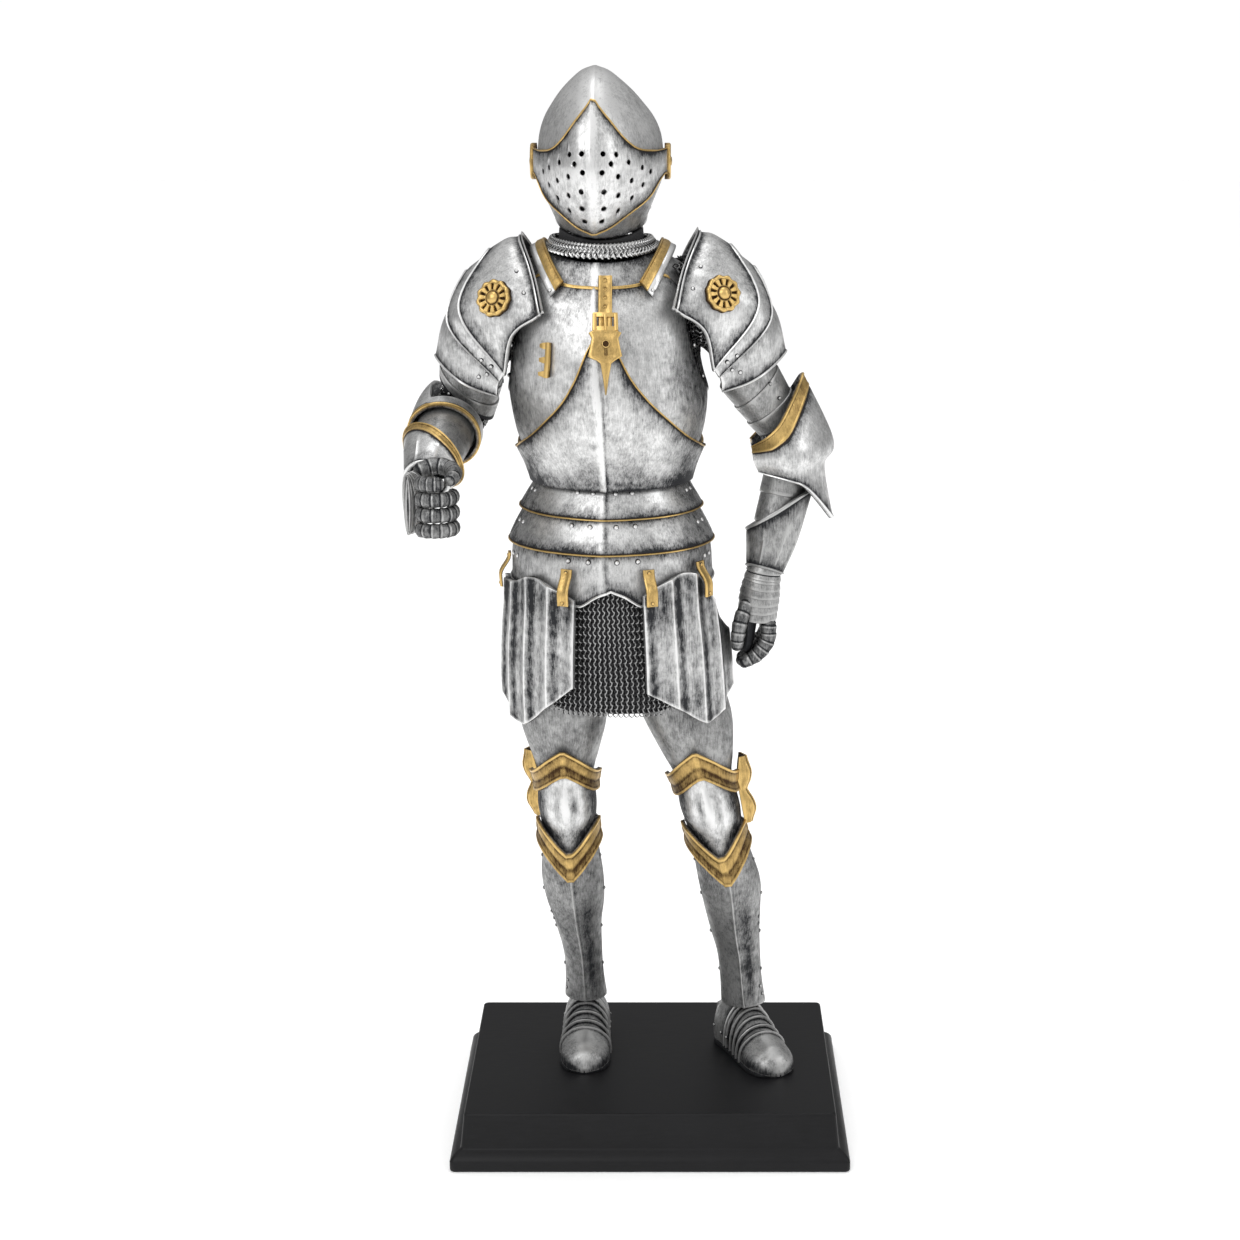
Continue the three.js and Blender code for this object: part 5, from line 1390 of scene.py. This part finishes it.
ELBOWS = {
    "right": [(-55.6, 6.6, 231.5, 7.6, 7.6), (-57.2, 9.6, 227, 7.8, 7.6), (-59, 9.5, 225.6, 7.8, 7.6),
              (-60.2, 3, 225, 7.8, 7.6)],
    "left": [(37.4, 3.4, 227.5, 6.8, 6.8), (41.2, 4.2, 221.5, 6.9, 6.8), (42.8, 4.4, 216, 6.8, 6.6),
             (42, 3.6, 210, 6.4, 6.2)],
}


def arms():
    for side, arm in ARMS.items():
        upper, fore = limb(arm["upper"]), limb(arm["fore"], arm["ahead"])
        rerebrace = Piece(f"rerebrace_{side}", "steel")
        lames(
            rerebrace, upper, arm["upper_top"], arm["upper_foot"], 3, rows=8, columns=72, base=-0.6,
            step=0.65, upward=True,
        )
        outer = 30 if side == "left" else -30
        rivets(rerebrace, upper, [(1.5, outer), (2.0, outer)], 0.0, radius=0.5)
        rerebrace.make(shaded_steel)
        top, foot = arm["vambrace"]
        vambrace = Piece(f"vambrace_{side}", "steel")
        if side == "left":
            lames(vambrace, fore, top, foot, 4, rows=8, columns=72, base=-1.1, step=0.6)
        else:
            plate(vambrace, fore, top, foot, lift=-0.7, rows=16, columns=72, upper=BEAD)
        vambrace.make(shaded_steel)
        cuff = Piece(f"gauntlet_cuff_{side}", "steel")
        spread = 1.5 if side == "right" else 0.7
        flared = lambda d, a: 0.75 + spread * (1 - d) ** 2
        edge = gilt_band(2.4) if side == "right" else BEAD

        def cuff_ridges(down, angle):
            # Raised ridges round the cuff, bright along their tops as worn edges and painted highlights
            ridge = np.maximum(0, 1 - np.abs((angle % 45) - 22.5) / 5)
            fade = smooth(down, 0.25, 0.45) * (1 - smooth(down, 0.85, 0.97))
            return 0.35 * ridge * fade, shown(0, 0, 0.9 * ridge * fade)

        plate(
            cuff, fore, arm["cuff_top"], len(arm["fore"]) - 1, lift=flared, rows=24, columns=96, upper=edge,
            lower=BEAD, detail=cuff_ridges,
        )
        cuff.make(shaded_steel if side == "left" else steel)
    right_couter()
    fan_couter()
    mail_elbows()


def right_couter():
    """The bent elbow's cop, open above where the arm comes in."""
    mouth, outside = 2.3, -128

    def hood(angle):
        turned = np.abs((angle - outside + 540) % 360 - 180)
        return mouth - 0.3 - 1.8 * (1 - smooth(turned, 75, 112))

    piece = Piece("couter_right", "steel")
    plate(
        piece, limb(ARMS["right"]["fore"], ARMS["right"]["ahead"]), hood, mouth, lift=STEP + 0.2, rows=22,
        columns=110, lower=gilt_band(2.0, 1.0),
    )
    piece.make(steel)


def fan_couter():
    """The straight elbow's cop: a three-pointed fan with a wide gilt border along its top."""
    piece = Piece("couter_left", "steel")
    plate(
        piece, left_couter, 0, 3, -90, 90, lift=WALL, rows=40, columns=90, upper=gilt_band(3.0, 2.4),
        lower=BEAD,
    )
    piece.make(steel)


def mail_elbows():
    """Mail closes the insides of the elbows."""
    for side, rows in ELBOWS.items():
        piece = Piece(f"mail_elbow_{side}", "mail", replaced=[])
        rod(piece, rows, (0, -1, 0), sides=20, tone=DARK)
        surface = limb([(*row, row[4]) for row in rows])
        mail(piece, surface, 0.1, len(rows) - 1.1, lift=0.1)
        piece.make(ring_metal)


# ---------------------------------------------------------------- hands

GRIP = {"x": -61.2, "y": -42, "top": 214.8, "clear": 3.7, "outer": 7, "pitch": 4.5}


def right_hand():
    hand = Piece("gauntlet_hand_right", "steel")
    back = limb([
        (-64.9, -30.6, 212.4, 5, 5.2, 5.4), (-66.4, -35.5, 210.2, 3.9, 7.2, 8),
        (-68, -40, 208.8, 2.7, 8.6, 9.2),
        (-68.8, -43.6, 208.4, 1.5, 8.6, 9), (-68.7, -45.6, 208.3, 0.5, 8.2, 8.6),
    ], (0, 0.2, 1))
    lames(hand, back, 0, 4, 6, rows=7, columns=64, base=-0.5, step=0.65)
    # The thumb and fingers are painted a little darker, as shade in the fist
    rod(hand, [
        (-66.4, -36.6, 216.8, 2.2, 2.2), (-62, -35.4, 218, 2.4, 2.4), (-57.6, -36.6, 217.6, 2.3, 2.3),
        (-55.6, -40.8, 216.6, 2.1, 2.1), (-56.8, -45, 215.4, 1.7, 1.7),
    ], segments=6, tone=DUSK)
    hand.make(shaded_steel)
    fingers = Piece("gauntlet_fingers_right", "steel")
    middle = (GRIP["clear"] + GRIP["outer"]) / 2
    for row, (start, end) in enumerate([(214, 290), (214, 385), (214, 385), (214, 380)]):
        rows = []
        for a in np.linspace(start, end, 6):
            x, y = GRIP["x"] + middle * cos_deg(a), GRIP["y"] + middle * sin_deg(a)
            rows.append((x, y, GRIP["top"] - row * GRIP["pitch"], 1.65, GRIP["pitch"] * 0.46))
        rod(fingers, rows, (0, 0, 1), segments=4 if row == 0 else 7, tone=DUSK)
    fingers.make(shaded_steel)


def left_hand():
    hand = Piece("gauntlet_hand_left", "steel")
    back = limb([
        (34.8, -3.2, 179.2, 5.2, 5, 5), (33.7, -2.6, 172, 6.2, 6.4, 6.8), (33, -1.8, 164.6, 6, 7.6, 8),
    ])
    wrist = limb([
        (35.6, -2.2, 184, 5.4, 5.1, 5.1), (35, -3, 180, 5.3, 5.1, 5.1), (34.5, -3.1, 177, 5.6, 5.4, 5.5),
    ])
    lames(hand, wrist, 0, 2, 3, rows=6, columns=56, base=-0.4, step=0.6)
    lames(hand, back, 0.05, 1.95, 6, rows=7, columns=64, base=-0.5, step=0.65)
    # The thumb and fingers are painted a little darker, and the palm dark, as shade inside the hand
    rod(hand, [
        (29.8, -6.4, 170, 2, 2), (27.8, -8.6, 165.4, 2.2, 2.2), (26.9, -9.4, 160.6, 2.1, 2.1),
        (26.6, -9.2, 156.6, 1.7, 1.7),
    ], segments=5, tone=DUSK)
    palm = [(30.6, -3, 170, 3, 5), (30, -3.4, 163, 2.8, 5.4), (29.6, -3.8, 157, 2.2, 5)]
    rod(hand, palm, (0, -1, 0), tone=DARK)
    hand.make(shaded_steel)
    fingers = Piece("gauntlet_fingers_left", "steel")
    for n, more in enumerate([0, 0.8, 0.5, -0.8]):
        y = -7 + 4.1 * n
        rod(fingers, [
            (36.4, y, 163.2, 2.3, 2.2), (36, y - 0.2, 158.4, 2.3, 2.2),
            (33, y - 0.4, 154 - more / 2, 2.2, 2.1),
            (28.6 - more, y - 0.6, 151.2 - more / 2, 1.7, 2.0),
        ], segments=6, tone=DUSK)
    fingers.make(shaded_steel)


SLEEVES = {
    "right": [(-33.5, -0.3, 255, 6.4, 9.2, 7.9), (-41, -0.3, 254.2, 7, 9.2, 7.9),
              (-47.6, 0.4, 251.6, 7.4, 9, 9),
              (-51.8, 1.8, 247, 7.4, 8, 8), (-53.4, 3.6, 241, 7.4, 7.6, 7.6)],
    "left": [(10.1, -0.3, 256, 6.4, 9.2, 7.9), (17.6, -0.3, 255, 7, 9.2, 7.9),
             (23, 0.2, 251.4, 7.2, 8.6, 8.6), (26.6, 1, 245.6, 7, 7.4, 7.4), (29.6, 1.6, 240, 6.8, 7, 7)],
}


def mail_sleeves():
    for side, rows in SLEEVES.items():
        surface = limb(rows)
        piece = Piece(f"mail_sleeve_{side}", "mail")
        plate(piece, surface, 0, 4, lift=-0.4, wall=0.7, rows=12, tone=DARK, every=4)
        mail(piece, surface, 0.1, 3.9, lift=-0.1)
        piece.make(ring_metal)


# ---------------------------------------------------------------- legs

LEGS = {
    "right": form([
        (162, -26.8, 0.5, 12.4, 14.2, 14.2), (148, -27, 0, 13.9, 14.6, 14),
        (131, -27, -0.5, 13.3, 14, 13, 0.3), (122, -26.7, -0.5, 10.8, 12.6, 11.4, 0.4),
        (115, -26.4, -0.5, 8.7, 11.4, 10.2, 0.4), (106, -26.1, -0.6, 7.9, 10.6, 9.2, 0.4),
        (96, -25.6, 0, 7.9, 9.8, 9.2, 0.4), (87, -25.2, 1.5, 9.1, 9.4, 10, 0.6),
        (78, -24.8, 3.5, 9.8, 9.4, 10.8, 0.8), (70, -24.1, 5, 9.2, 8.9, 10.6, 0.8),
        (62, -23.4, 6.8, 7.6, 8, 9.6, 0.8), (50, -22, 9, 6.2, 6.8, 7.8, 0.8),
        (42, -21.6, 10.6, 6.2, 6.6, 7.2, 0.6), (33, -21.2, 12.2, 6.9, 7, 7.2, 0.4),
    ]),
    "left": form([
        (162, 3.4, -0.5, 12.4, 14.2, 14.2), (148, 6.9, -1, 13.7, 14.4, 14),
        (134, 11.3, -2, 14, 14.3, 13.2, 0.3), (122, 14.6, -2.8, 11.2, 12.8, 11.6, 0.4),
        (114, 16.6, -3.4, 8.7, 11.6, 10.4, 0.4), (105, 18.6, -3.8, 8, 10.8, 9.2, 0.4),
        (96, 20.6, -3.3, 8, 10, 9.2, 0.4), (88, 22.7, -2.3, 9.1, 9.6, 10, 0.6),
        (78, 25, -0.8, 9.8, 9.5, 10.8, 0.8), (68, 26.1, 1, 8.8, 8.8, 10.4, 0.8),
        (60, 27, 2.6, 7.8, 8, 9.4, 0.8), (52, 28.2, 4, 6.9, 7, 8, 0.8), (43, 29, 5.4, 6.7, 6.7, 7.2, 0.6),
        (33, 30, 6.8, 7.2, 7, 7.2, 0.4),
    ]),
}
WINGS = {"right": (-1, -118.0), "left": (1, 92.0)}  # the knees' wings: side and angle
FEET = {"right": ((-21.1, 13), 0), "left": ((29.6, 7.8), 25)}
FLOOR = 17.8
TOE_REACH = 27.6
FOOT_TOP = hermite(
    (0, 1.2, 4.5, 9, 15, 21, 27.5, 34, 36.6, 37.6), (0.6, 4.3, 6.8, 8.2, 10.6, 14.6, 15.6, 15, 14, 12.6)
)
FOOT_WIDE = hermite(
    (0, 1.2, 4.5, 9, 15, 21, 27.5, 34, 36.6, 37.6), (0.1, 4, 7, 8.2, 8, 7.4, 7.4, 7, 4.6, 0.8)
)


def knees(side, leg):
    cop = Piece(f"poleyn_{side}", "steel")
    top = even((0, 119.5), (60, 115), (100, 112))
    bottom = even((0, 88.5), (60, 94.5), (100, 97))
    dome = lambda d, a: 0.9 + 1.3 * cos_deg(a * 0.8) * np.sin(math.pi * d) ** 3

    def peak(down, angle):
        # A painted highlight on the knee's peak and front; patina and painted shade in the dent, painted
        # shade toward the sides and the lower part
        ridge = np.maximum(0, 1 - np.abs(angle) / 5) * smooth(down, 0.1, 0.3) * (1 - smooth(down, 0.45, 0.65))
        across = np.abs(angle)
        dent = hump(across, 14, 6) * hump(down, 0.42, 0.16)
        dusk = smooth(across, 24, 58) + smooth(down, 0.6, 0.8) * (1 - 0.5 * hump(across, 0, 18))
        dusk = np.minimum(1, dusk)
        tone = shown(0, 0.6 * dent + 0.75 * dusk, 0.8 * ridge + 0.2 * (1 - dusk))
        return 0.5 * ridge - 0.25 * dent, tone

    plate(
        cop, leg, top, bottom, -100, 100, lift=dome, rows=28, columns=64, upper=SHADED, lower=SHADED,
        detail=peak,
    )
    rivets(cop, leg, [(112, -88), (99.5, -88), (112, 88), (99.5, 88)], 1.0, radius=0.55)
    wing(cop, leg, *WINGS[side])
    cop.make(steel)

    # The band's raised borders are painted bright as highlights, with painted shade just inside them
    band = [
        (0, -0.15, 1, 0.3, 0), (0.2, 0.25, 1, 0, 0.6), (0.6, 0.3, 1, 0, 0.6), (1.0, 0.05, 1, 0.7, 0),
        (1.5, 0, 1, 0.35, 0), (2.6, 0, 1, 0.15, 0),
    ]
    upper_peak = even((0, 126.2), (50, 118.4), (80, 116.6))
    lower_point = even((0, 81), (50, 90.6), (80, 93.2))
    for name, first, second in (
        ("upper", upper_peak, lambda a: upper_peak(a) - lerp(9, 7, np.abs(a) / 80)),
        ("lower", lambda a: lower_point(a) + lerp(9.8, 7, np.abs(a) / 80), lower_point),
    ):
        piece = Piece(f"poleyn_{name}_{side}", "gilt")

        def fold(down, angle):
            """A crease at the point with a painted highlight, and a groove that follows the band's middle,
            dark with patina and painted shade; the band is also painted darker toward its lower edge, as
            shade.
            """
            crease = np.maximum(0, 1 - np.abs(angle) / 3)
            groove = hump(down, 0.58, 0.08)
            wash_and_shade = 0.15 + 0.6 * groove + 0.35 * smooth(down, 0.55, 0.8)
            tone = shown(1, wash_and_shade, 0.4 * crease)
            return 0.25 * crease - 0.2 * groove, tone

        plate(
            piece, leg, first, second, -80, 80, lift=lambda d, a: 3.1 - 0.8 * (np.abs(a) / 80) ** 2,
            rows=20, columns=72, upper=band, lower=band, side=band, detail=fold, tone=GILT,
        )
        piece.make(gilt)


def wing(piece, leg, outer, angle):
    """The gilt fan on the knee's outer side, notched at its middle."""
    z = np.linspace(98.5, 120.5, 17)
    t = np.linspace(-1, 1, 17)
    lobes = 1.1 * hump(np.abs(t), 0.55, 0.28)
    notch = 1.2 * hump(t, 0, 0.16)
    reach = 3.4 - 1.5 * t**2 + lobes - notch
    foot = leg(z, angle + 0 * z) + normals(leg, z, angle + 0 * z) * 1.8
    tip = foot + np.stack([outer * reach, -0.9 - 0.25 * reach, 0 * z], -1)
    behind = foot + np.array([0, 4.2, 0]) * (1 - 0.55 * t**2)[:, None]
    hollowed = ((0, 0), (0.4, -0.1), (0.85, 0.2), (1, 0.1))
    bar(piece, foot - (0, 3.0, 0), tip, (0, -1, 0.05), 0.8, GILT, levels=hollowed)
    bar(piece, behind, tip, (outer, 0.4, 0), 0.7, GILT)


def legs():
    cuisse_foot = even((0, 118.6), (60, 116), (110, 108), (180, 106.5))
    greave_top = even((0, 93), (60, 98), (110, 103), (180, 104.5))
    line = middle_line(0.3, 3.5, painted_highlight=0.7, wash_and_shade=0.3, at=0)

    def shin(down, angle):
        # Painted shade in a band beside the shin's ridge and toward the greave's sides
        height, tone = line(down, angle)
        dusk = 0.6 * hump(angle, 26, 16) * smooth(down, 0.25, 0.45)
        dusk = dusk * (1 - 0.5 * smooth(down, 0.8, 1))
        tone[..., 1] += dusk + 0.3 * smooth(np.abs(angle), 55, 85) * (np.abs(angle) < 120)
        return height, tone

    for side, leg in LEGS.items():
        # Cuisses and greaves are painted a little darker all over, as shade
        cuisse = Piece(f"cuisse_{side}", "steel")
        plate(
            cuisse, leg, lambda a: 160 - 4 * np.maximum(0, cos_deg(a)), cuisse_foot, rows=40, columns=96,
            upper=BEAD, lower=SHADED, tone=(0, 0.08, 0),
        )
        cuisse.make(shaded_steel)
        greave = Piece(f"greave_{side}", "steel")
        plate(
            greave, leg, greave_top, 34, rows=56, columns=96, upper=BEAD, detail=shin, tone=(0, 0.12, 0)
        )
        outer = -1 if side == "right" else 1
        spots = [(z, s * 82) for z in (86, 74, 60, 46) for s in (-1, 1)]
        spots += [(40.5, outer * 60), (37.5, outer * 66), (66, outer * 70), (63.4, outer * 70)]
        rivets(greave, leg, spots, 0.05, radius=0.5)
        greave.make(shaded_steel)
        knees(side, leg)
        foot(side)


def foot_surface(side):
    """The foot's upper, along the distance behind the toe's tip; across is 0 on top, 90 at the sole."""
    (x, y), turn = FEET[side]
    c, s = cos_deg(turn), sin_deg(turn)

    def surface(d, angle):
        d, angle = np.broadcast_arrays(np.asarray(d, float), np.asarray(angle, float))
        wide, top = FOOT_WIDE(d), FOOT_TOP(d)
        up = cos_deg(angle)
        height = np.clip((up + 0.25) / 1.25, 0, None) ** 0.85
        px = wide * np.abs(sin_deg(angle)) ** 0.8 * np.sign(sin_deg(angle))
        py = d - TOE_REACH
        ridge = np.maximum(0, 1 - np.abs(angle) / 38) * smooth(d, 1, 6)
        return np.stack([x + px * c - py * s, y + px * s + py * c, FLOOR + height * top + ridge], -1)

    surface.up = 1
    return surface


def foot(side):
    surface = foot_surface(side)
    piece = Piece(f"sabaton_{side}", "steel")
    toe = 10.5
    edge = 100

    def chevron(d):
        return lambda a: d + 1.2 * np.minimum(1, np.abs(a) / edge)

    def toe_shade(down, angle):
        # Painted shade toward the toe's sides, and a painted highlight along its top
        dusk = 0.6 * smooth(np.abs(angle), 45, 85)
        return 0 * angle, shown(0, dusk, 0.5 * hump(angle, 0, 14))

    plate(
        piece, surface, 37.4, chevron(24.5), -edge, edge, wall=0.8, rows=18, columns=60, lower=BEAD
    )
    lames_back, lame_pitch, lap = 26, 2.7, 0.4
    for k in range(5):
        back = lames_back - k * lame_pitch
        front = max(back - lame_pitch - lap, toe + lap)
        # Each lame is painted a little darker as shade, and dark under the one before it
        plate(
            piece, surface, chevron(back), chevron(front), -edge, edge, lift=lambda d, a: -1.0 + 1.1 * d,
            wall=0.7, rows=7, columns=60, upper=UNDER, lower=BEAD[:6], tone=(0, 0.15, 0),
        )
    plate(
        piece, surface, chevron(toe + 2.6), 0.05, -edge, edge, lift=lambda d, a: -0.5 * (1 - d), wall=0.3,
        rows=30, columns=60, upper=UNDER, detail=toe_shade,
    )
    sole(piece, side)
    # The heel's plate closes the foot behind
    turn, heel_at = FEET[side][1], 36.4
    ahead = (sin_deg(turn), -cos_deg(turn), 0)
    x, y = surface(heel_at, 0)[:2]
    heel = [(x, y, FLOOR + z, FOOT_WIDE(heel_at) - 0.2, 1.3) for z in (1.5, 5, 9, 12)]
    rod(piece, heel, ahead, tone=(0, 0.2, 0))
    for d, a in ((28, -84), (24, -84), (28, 84), (24, 84), (33, -80), (33, 80)):
        rivets(piece, surface, [(d, a)], 0.1, radius=0.5)
    piece.make(shaded_steel)


def sole(piece, side):
    """A thin dark sole under the foot."""
    (x, y), turn = FEET[side]
    c, s = cos_deg(turn), sin_deg(turn)
    d = np.linspace(0.4, 37.2, 26)
    wide = FOOT_WIDE(d) * 0.99
    across, along = np.concatenate([wide, -wide[::-1]]), np.concatenate([d, d[::-1]]) - TOE_REACH
    rings = []
    for height, grow in ((-0.28, 0.9), (-0.1, 1.0), (0.9, 1.0), (1.2, 0.94)):
        px = grow * across
        z = np.full(len(px), FLOOR + height)
        rings.append(np.stack([x + px * c - along * s, y + px * s + along * c, z], -1))
    piece.add(np.array(rings), inside_out(tube_faces(len(rings), len(across))), (0, 0.9, 0))


plinth()
helmet()
torso_plates()
fauld_plates()
tassets()
mail_skirt()
breast_fittings()
shoulder_straps()
pauldrons()
mail_sleeves()
arms()
right_hand()
left_hand()
legs()

# ---------------------------------------------------------------- the stage


def floor():
    """A plain pale floor, which glows just enough to fade into the room."""
    half = 4.0
    corners = [(x * half, y * half, 0) for x, y in ((-1, -1), (1, -1), (1, 1), (-1, 1))]
    mesh = bpy.data.meshes.new("floor")
    mesh.from_pydata(corners, [], [(0, 1, 2, 3)])
    net = Net("pale_floor")
    grain = net.noise(net.node("TexCoord", out=3), 30, 2.0)
    colour = net.mix(grain, (0.97, 0.97, 0.97), (0.98, 0.98, 0.98))
    net.shader.inputs["Emission Color"].default_value = (1, 1, 1, 1)
    mesh.materials.append(net.finish(Base_Color=colour, Roughness=0.6, Emission_Strength=0.1))
    look = bpy.data.objects.new("floor", mesh)
    bpy.context.scene.collection.objects.link(look)


def area_light(name, place, size, power):
    light = bpy.data.lights.new(name, "AREA")
    light.shape, light.size, light.size_y = "RECTANGLE", size[0], size[1]
    light.energy = power
    look = bpy.data.objects.new(name, light)
    bpy.context.scene.collection.objects.link(look)
    look.location = place
    look.rotation_euler = (Vector(SUIT_MIDDLE) - Vector(place)).to_track_quat("-Z", "Y").to_euler()


# Name, place, size (m) and power (W) of each light; all look at the suit's middle
LIGHTS = [
    ("key", (-0.6, -0.85, 0.95), (0.9, 0.9), 4.6),
    ("side", (0.95, -0.35, 0.6), (0.25, 0.9), 2),
    ("top", (0, 0.15, 1.2), (0.5, 0.5), 1.9),
]
SUIT_MIDDLE = (0, 0, 0.19)
LENS, SENSOR, LENS_SHIFT = 70.54, 36, -0.04175
CAMERA_PLACE, CAMERA_TILT = (0.0067, -0.7261, 0.3507), 75.497


def studio_light():
    world = bpy.data.worlds.new("studio")
    world.use_nodes = True
    bpy.context.scene.world = world
    nodes, links = world.node_tree.nodes, world.node_tree.links
    back = nodes["Background"]
    back.inputs["Color"].default_value = (1, 1, 1, 1)
    path = nodes.new("ShaderNodeLightPath")
    way = nodes.new("ShaderNodeTexCoord")
    axes = nodes.new("ShaderNodeSeparateXYZ")
    links.new(way.outputs["Generated"], axes.inputs[0])
    # Shiny plates see a bright room in front and above, and a dark one at their sides
    glow = nodes.new("ShaderNodeMath")
    for slot, (axis, low, high, dim, bright) in enumerate([("Z", 0, 1, 0.05, 0.8), ("Y", 0, -1, 0, 0.6)]):
        reach = nodes.new("ShaderNodeMapRange")
        links.new(axes.outputs[axis], reach.inputs["Value"])
        for key, value in {"From Min": low, "From Max": high, "To Min": dim, "To Max": bright}.items():
            reach.inputs[key].default_value = value
        links.new(reach.outputs[0], glow.inputs[slot])
    power = nodes.new("ShaderNodeMix")
    links.new(path.outputs["Is Glossy Ray"], power.inputs["Factor"])
    power.inputs["A"].default_value = 1.02
    links.new(glow.outputs[0], power.inputs["B"])
    links.new(power.outputs["Result"], back.inputs["Strength"])
    for light in LIGHTS:
        area_light(*light)


def view():
    camera = bpy.data.cameras.new("camera")
    camera.lens, camera.sensor_width, camera.shift_x = LENS, SENSOR, LENS_SHIFT
    camera.clip_start = 0.01
    look = bpy.data.objects.new("camera", camera)
    bpy.context.scene.collection.objects.link(look)
    look.location = CAMERA_PLACE
    look.rotation_euler = (math.radians(CAMERA_TILT), 0, 0)
    bpy.context.scene.camera = look
    bpy.context.scene.view_settings.view_transform = "Standard"


floor()
studio_light()
view()
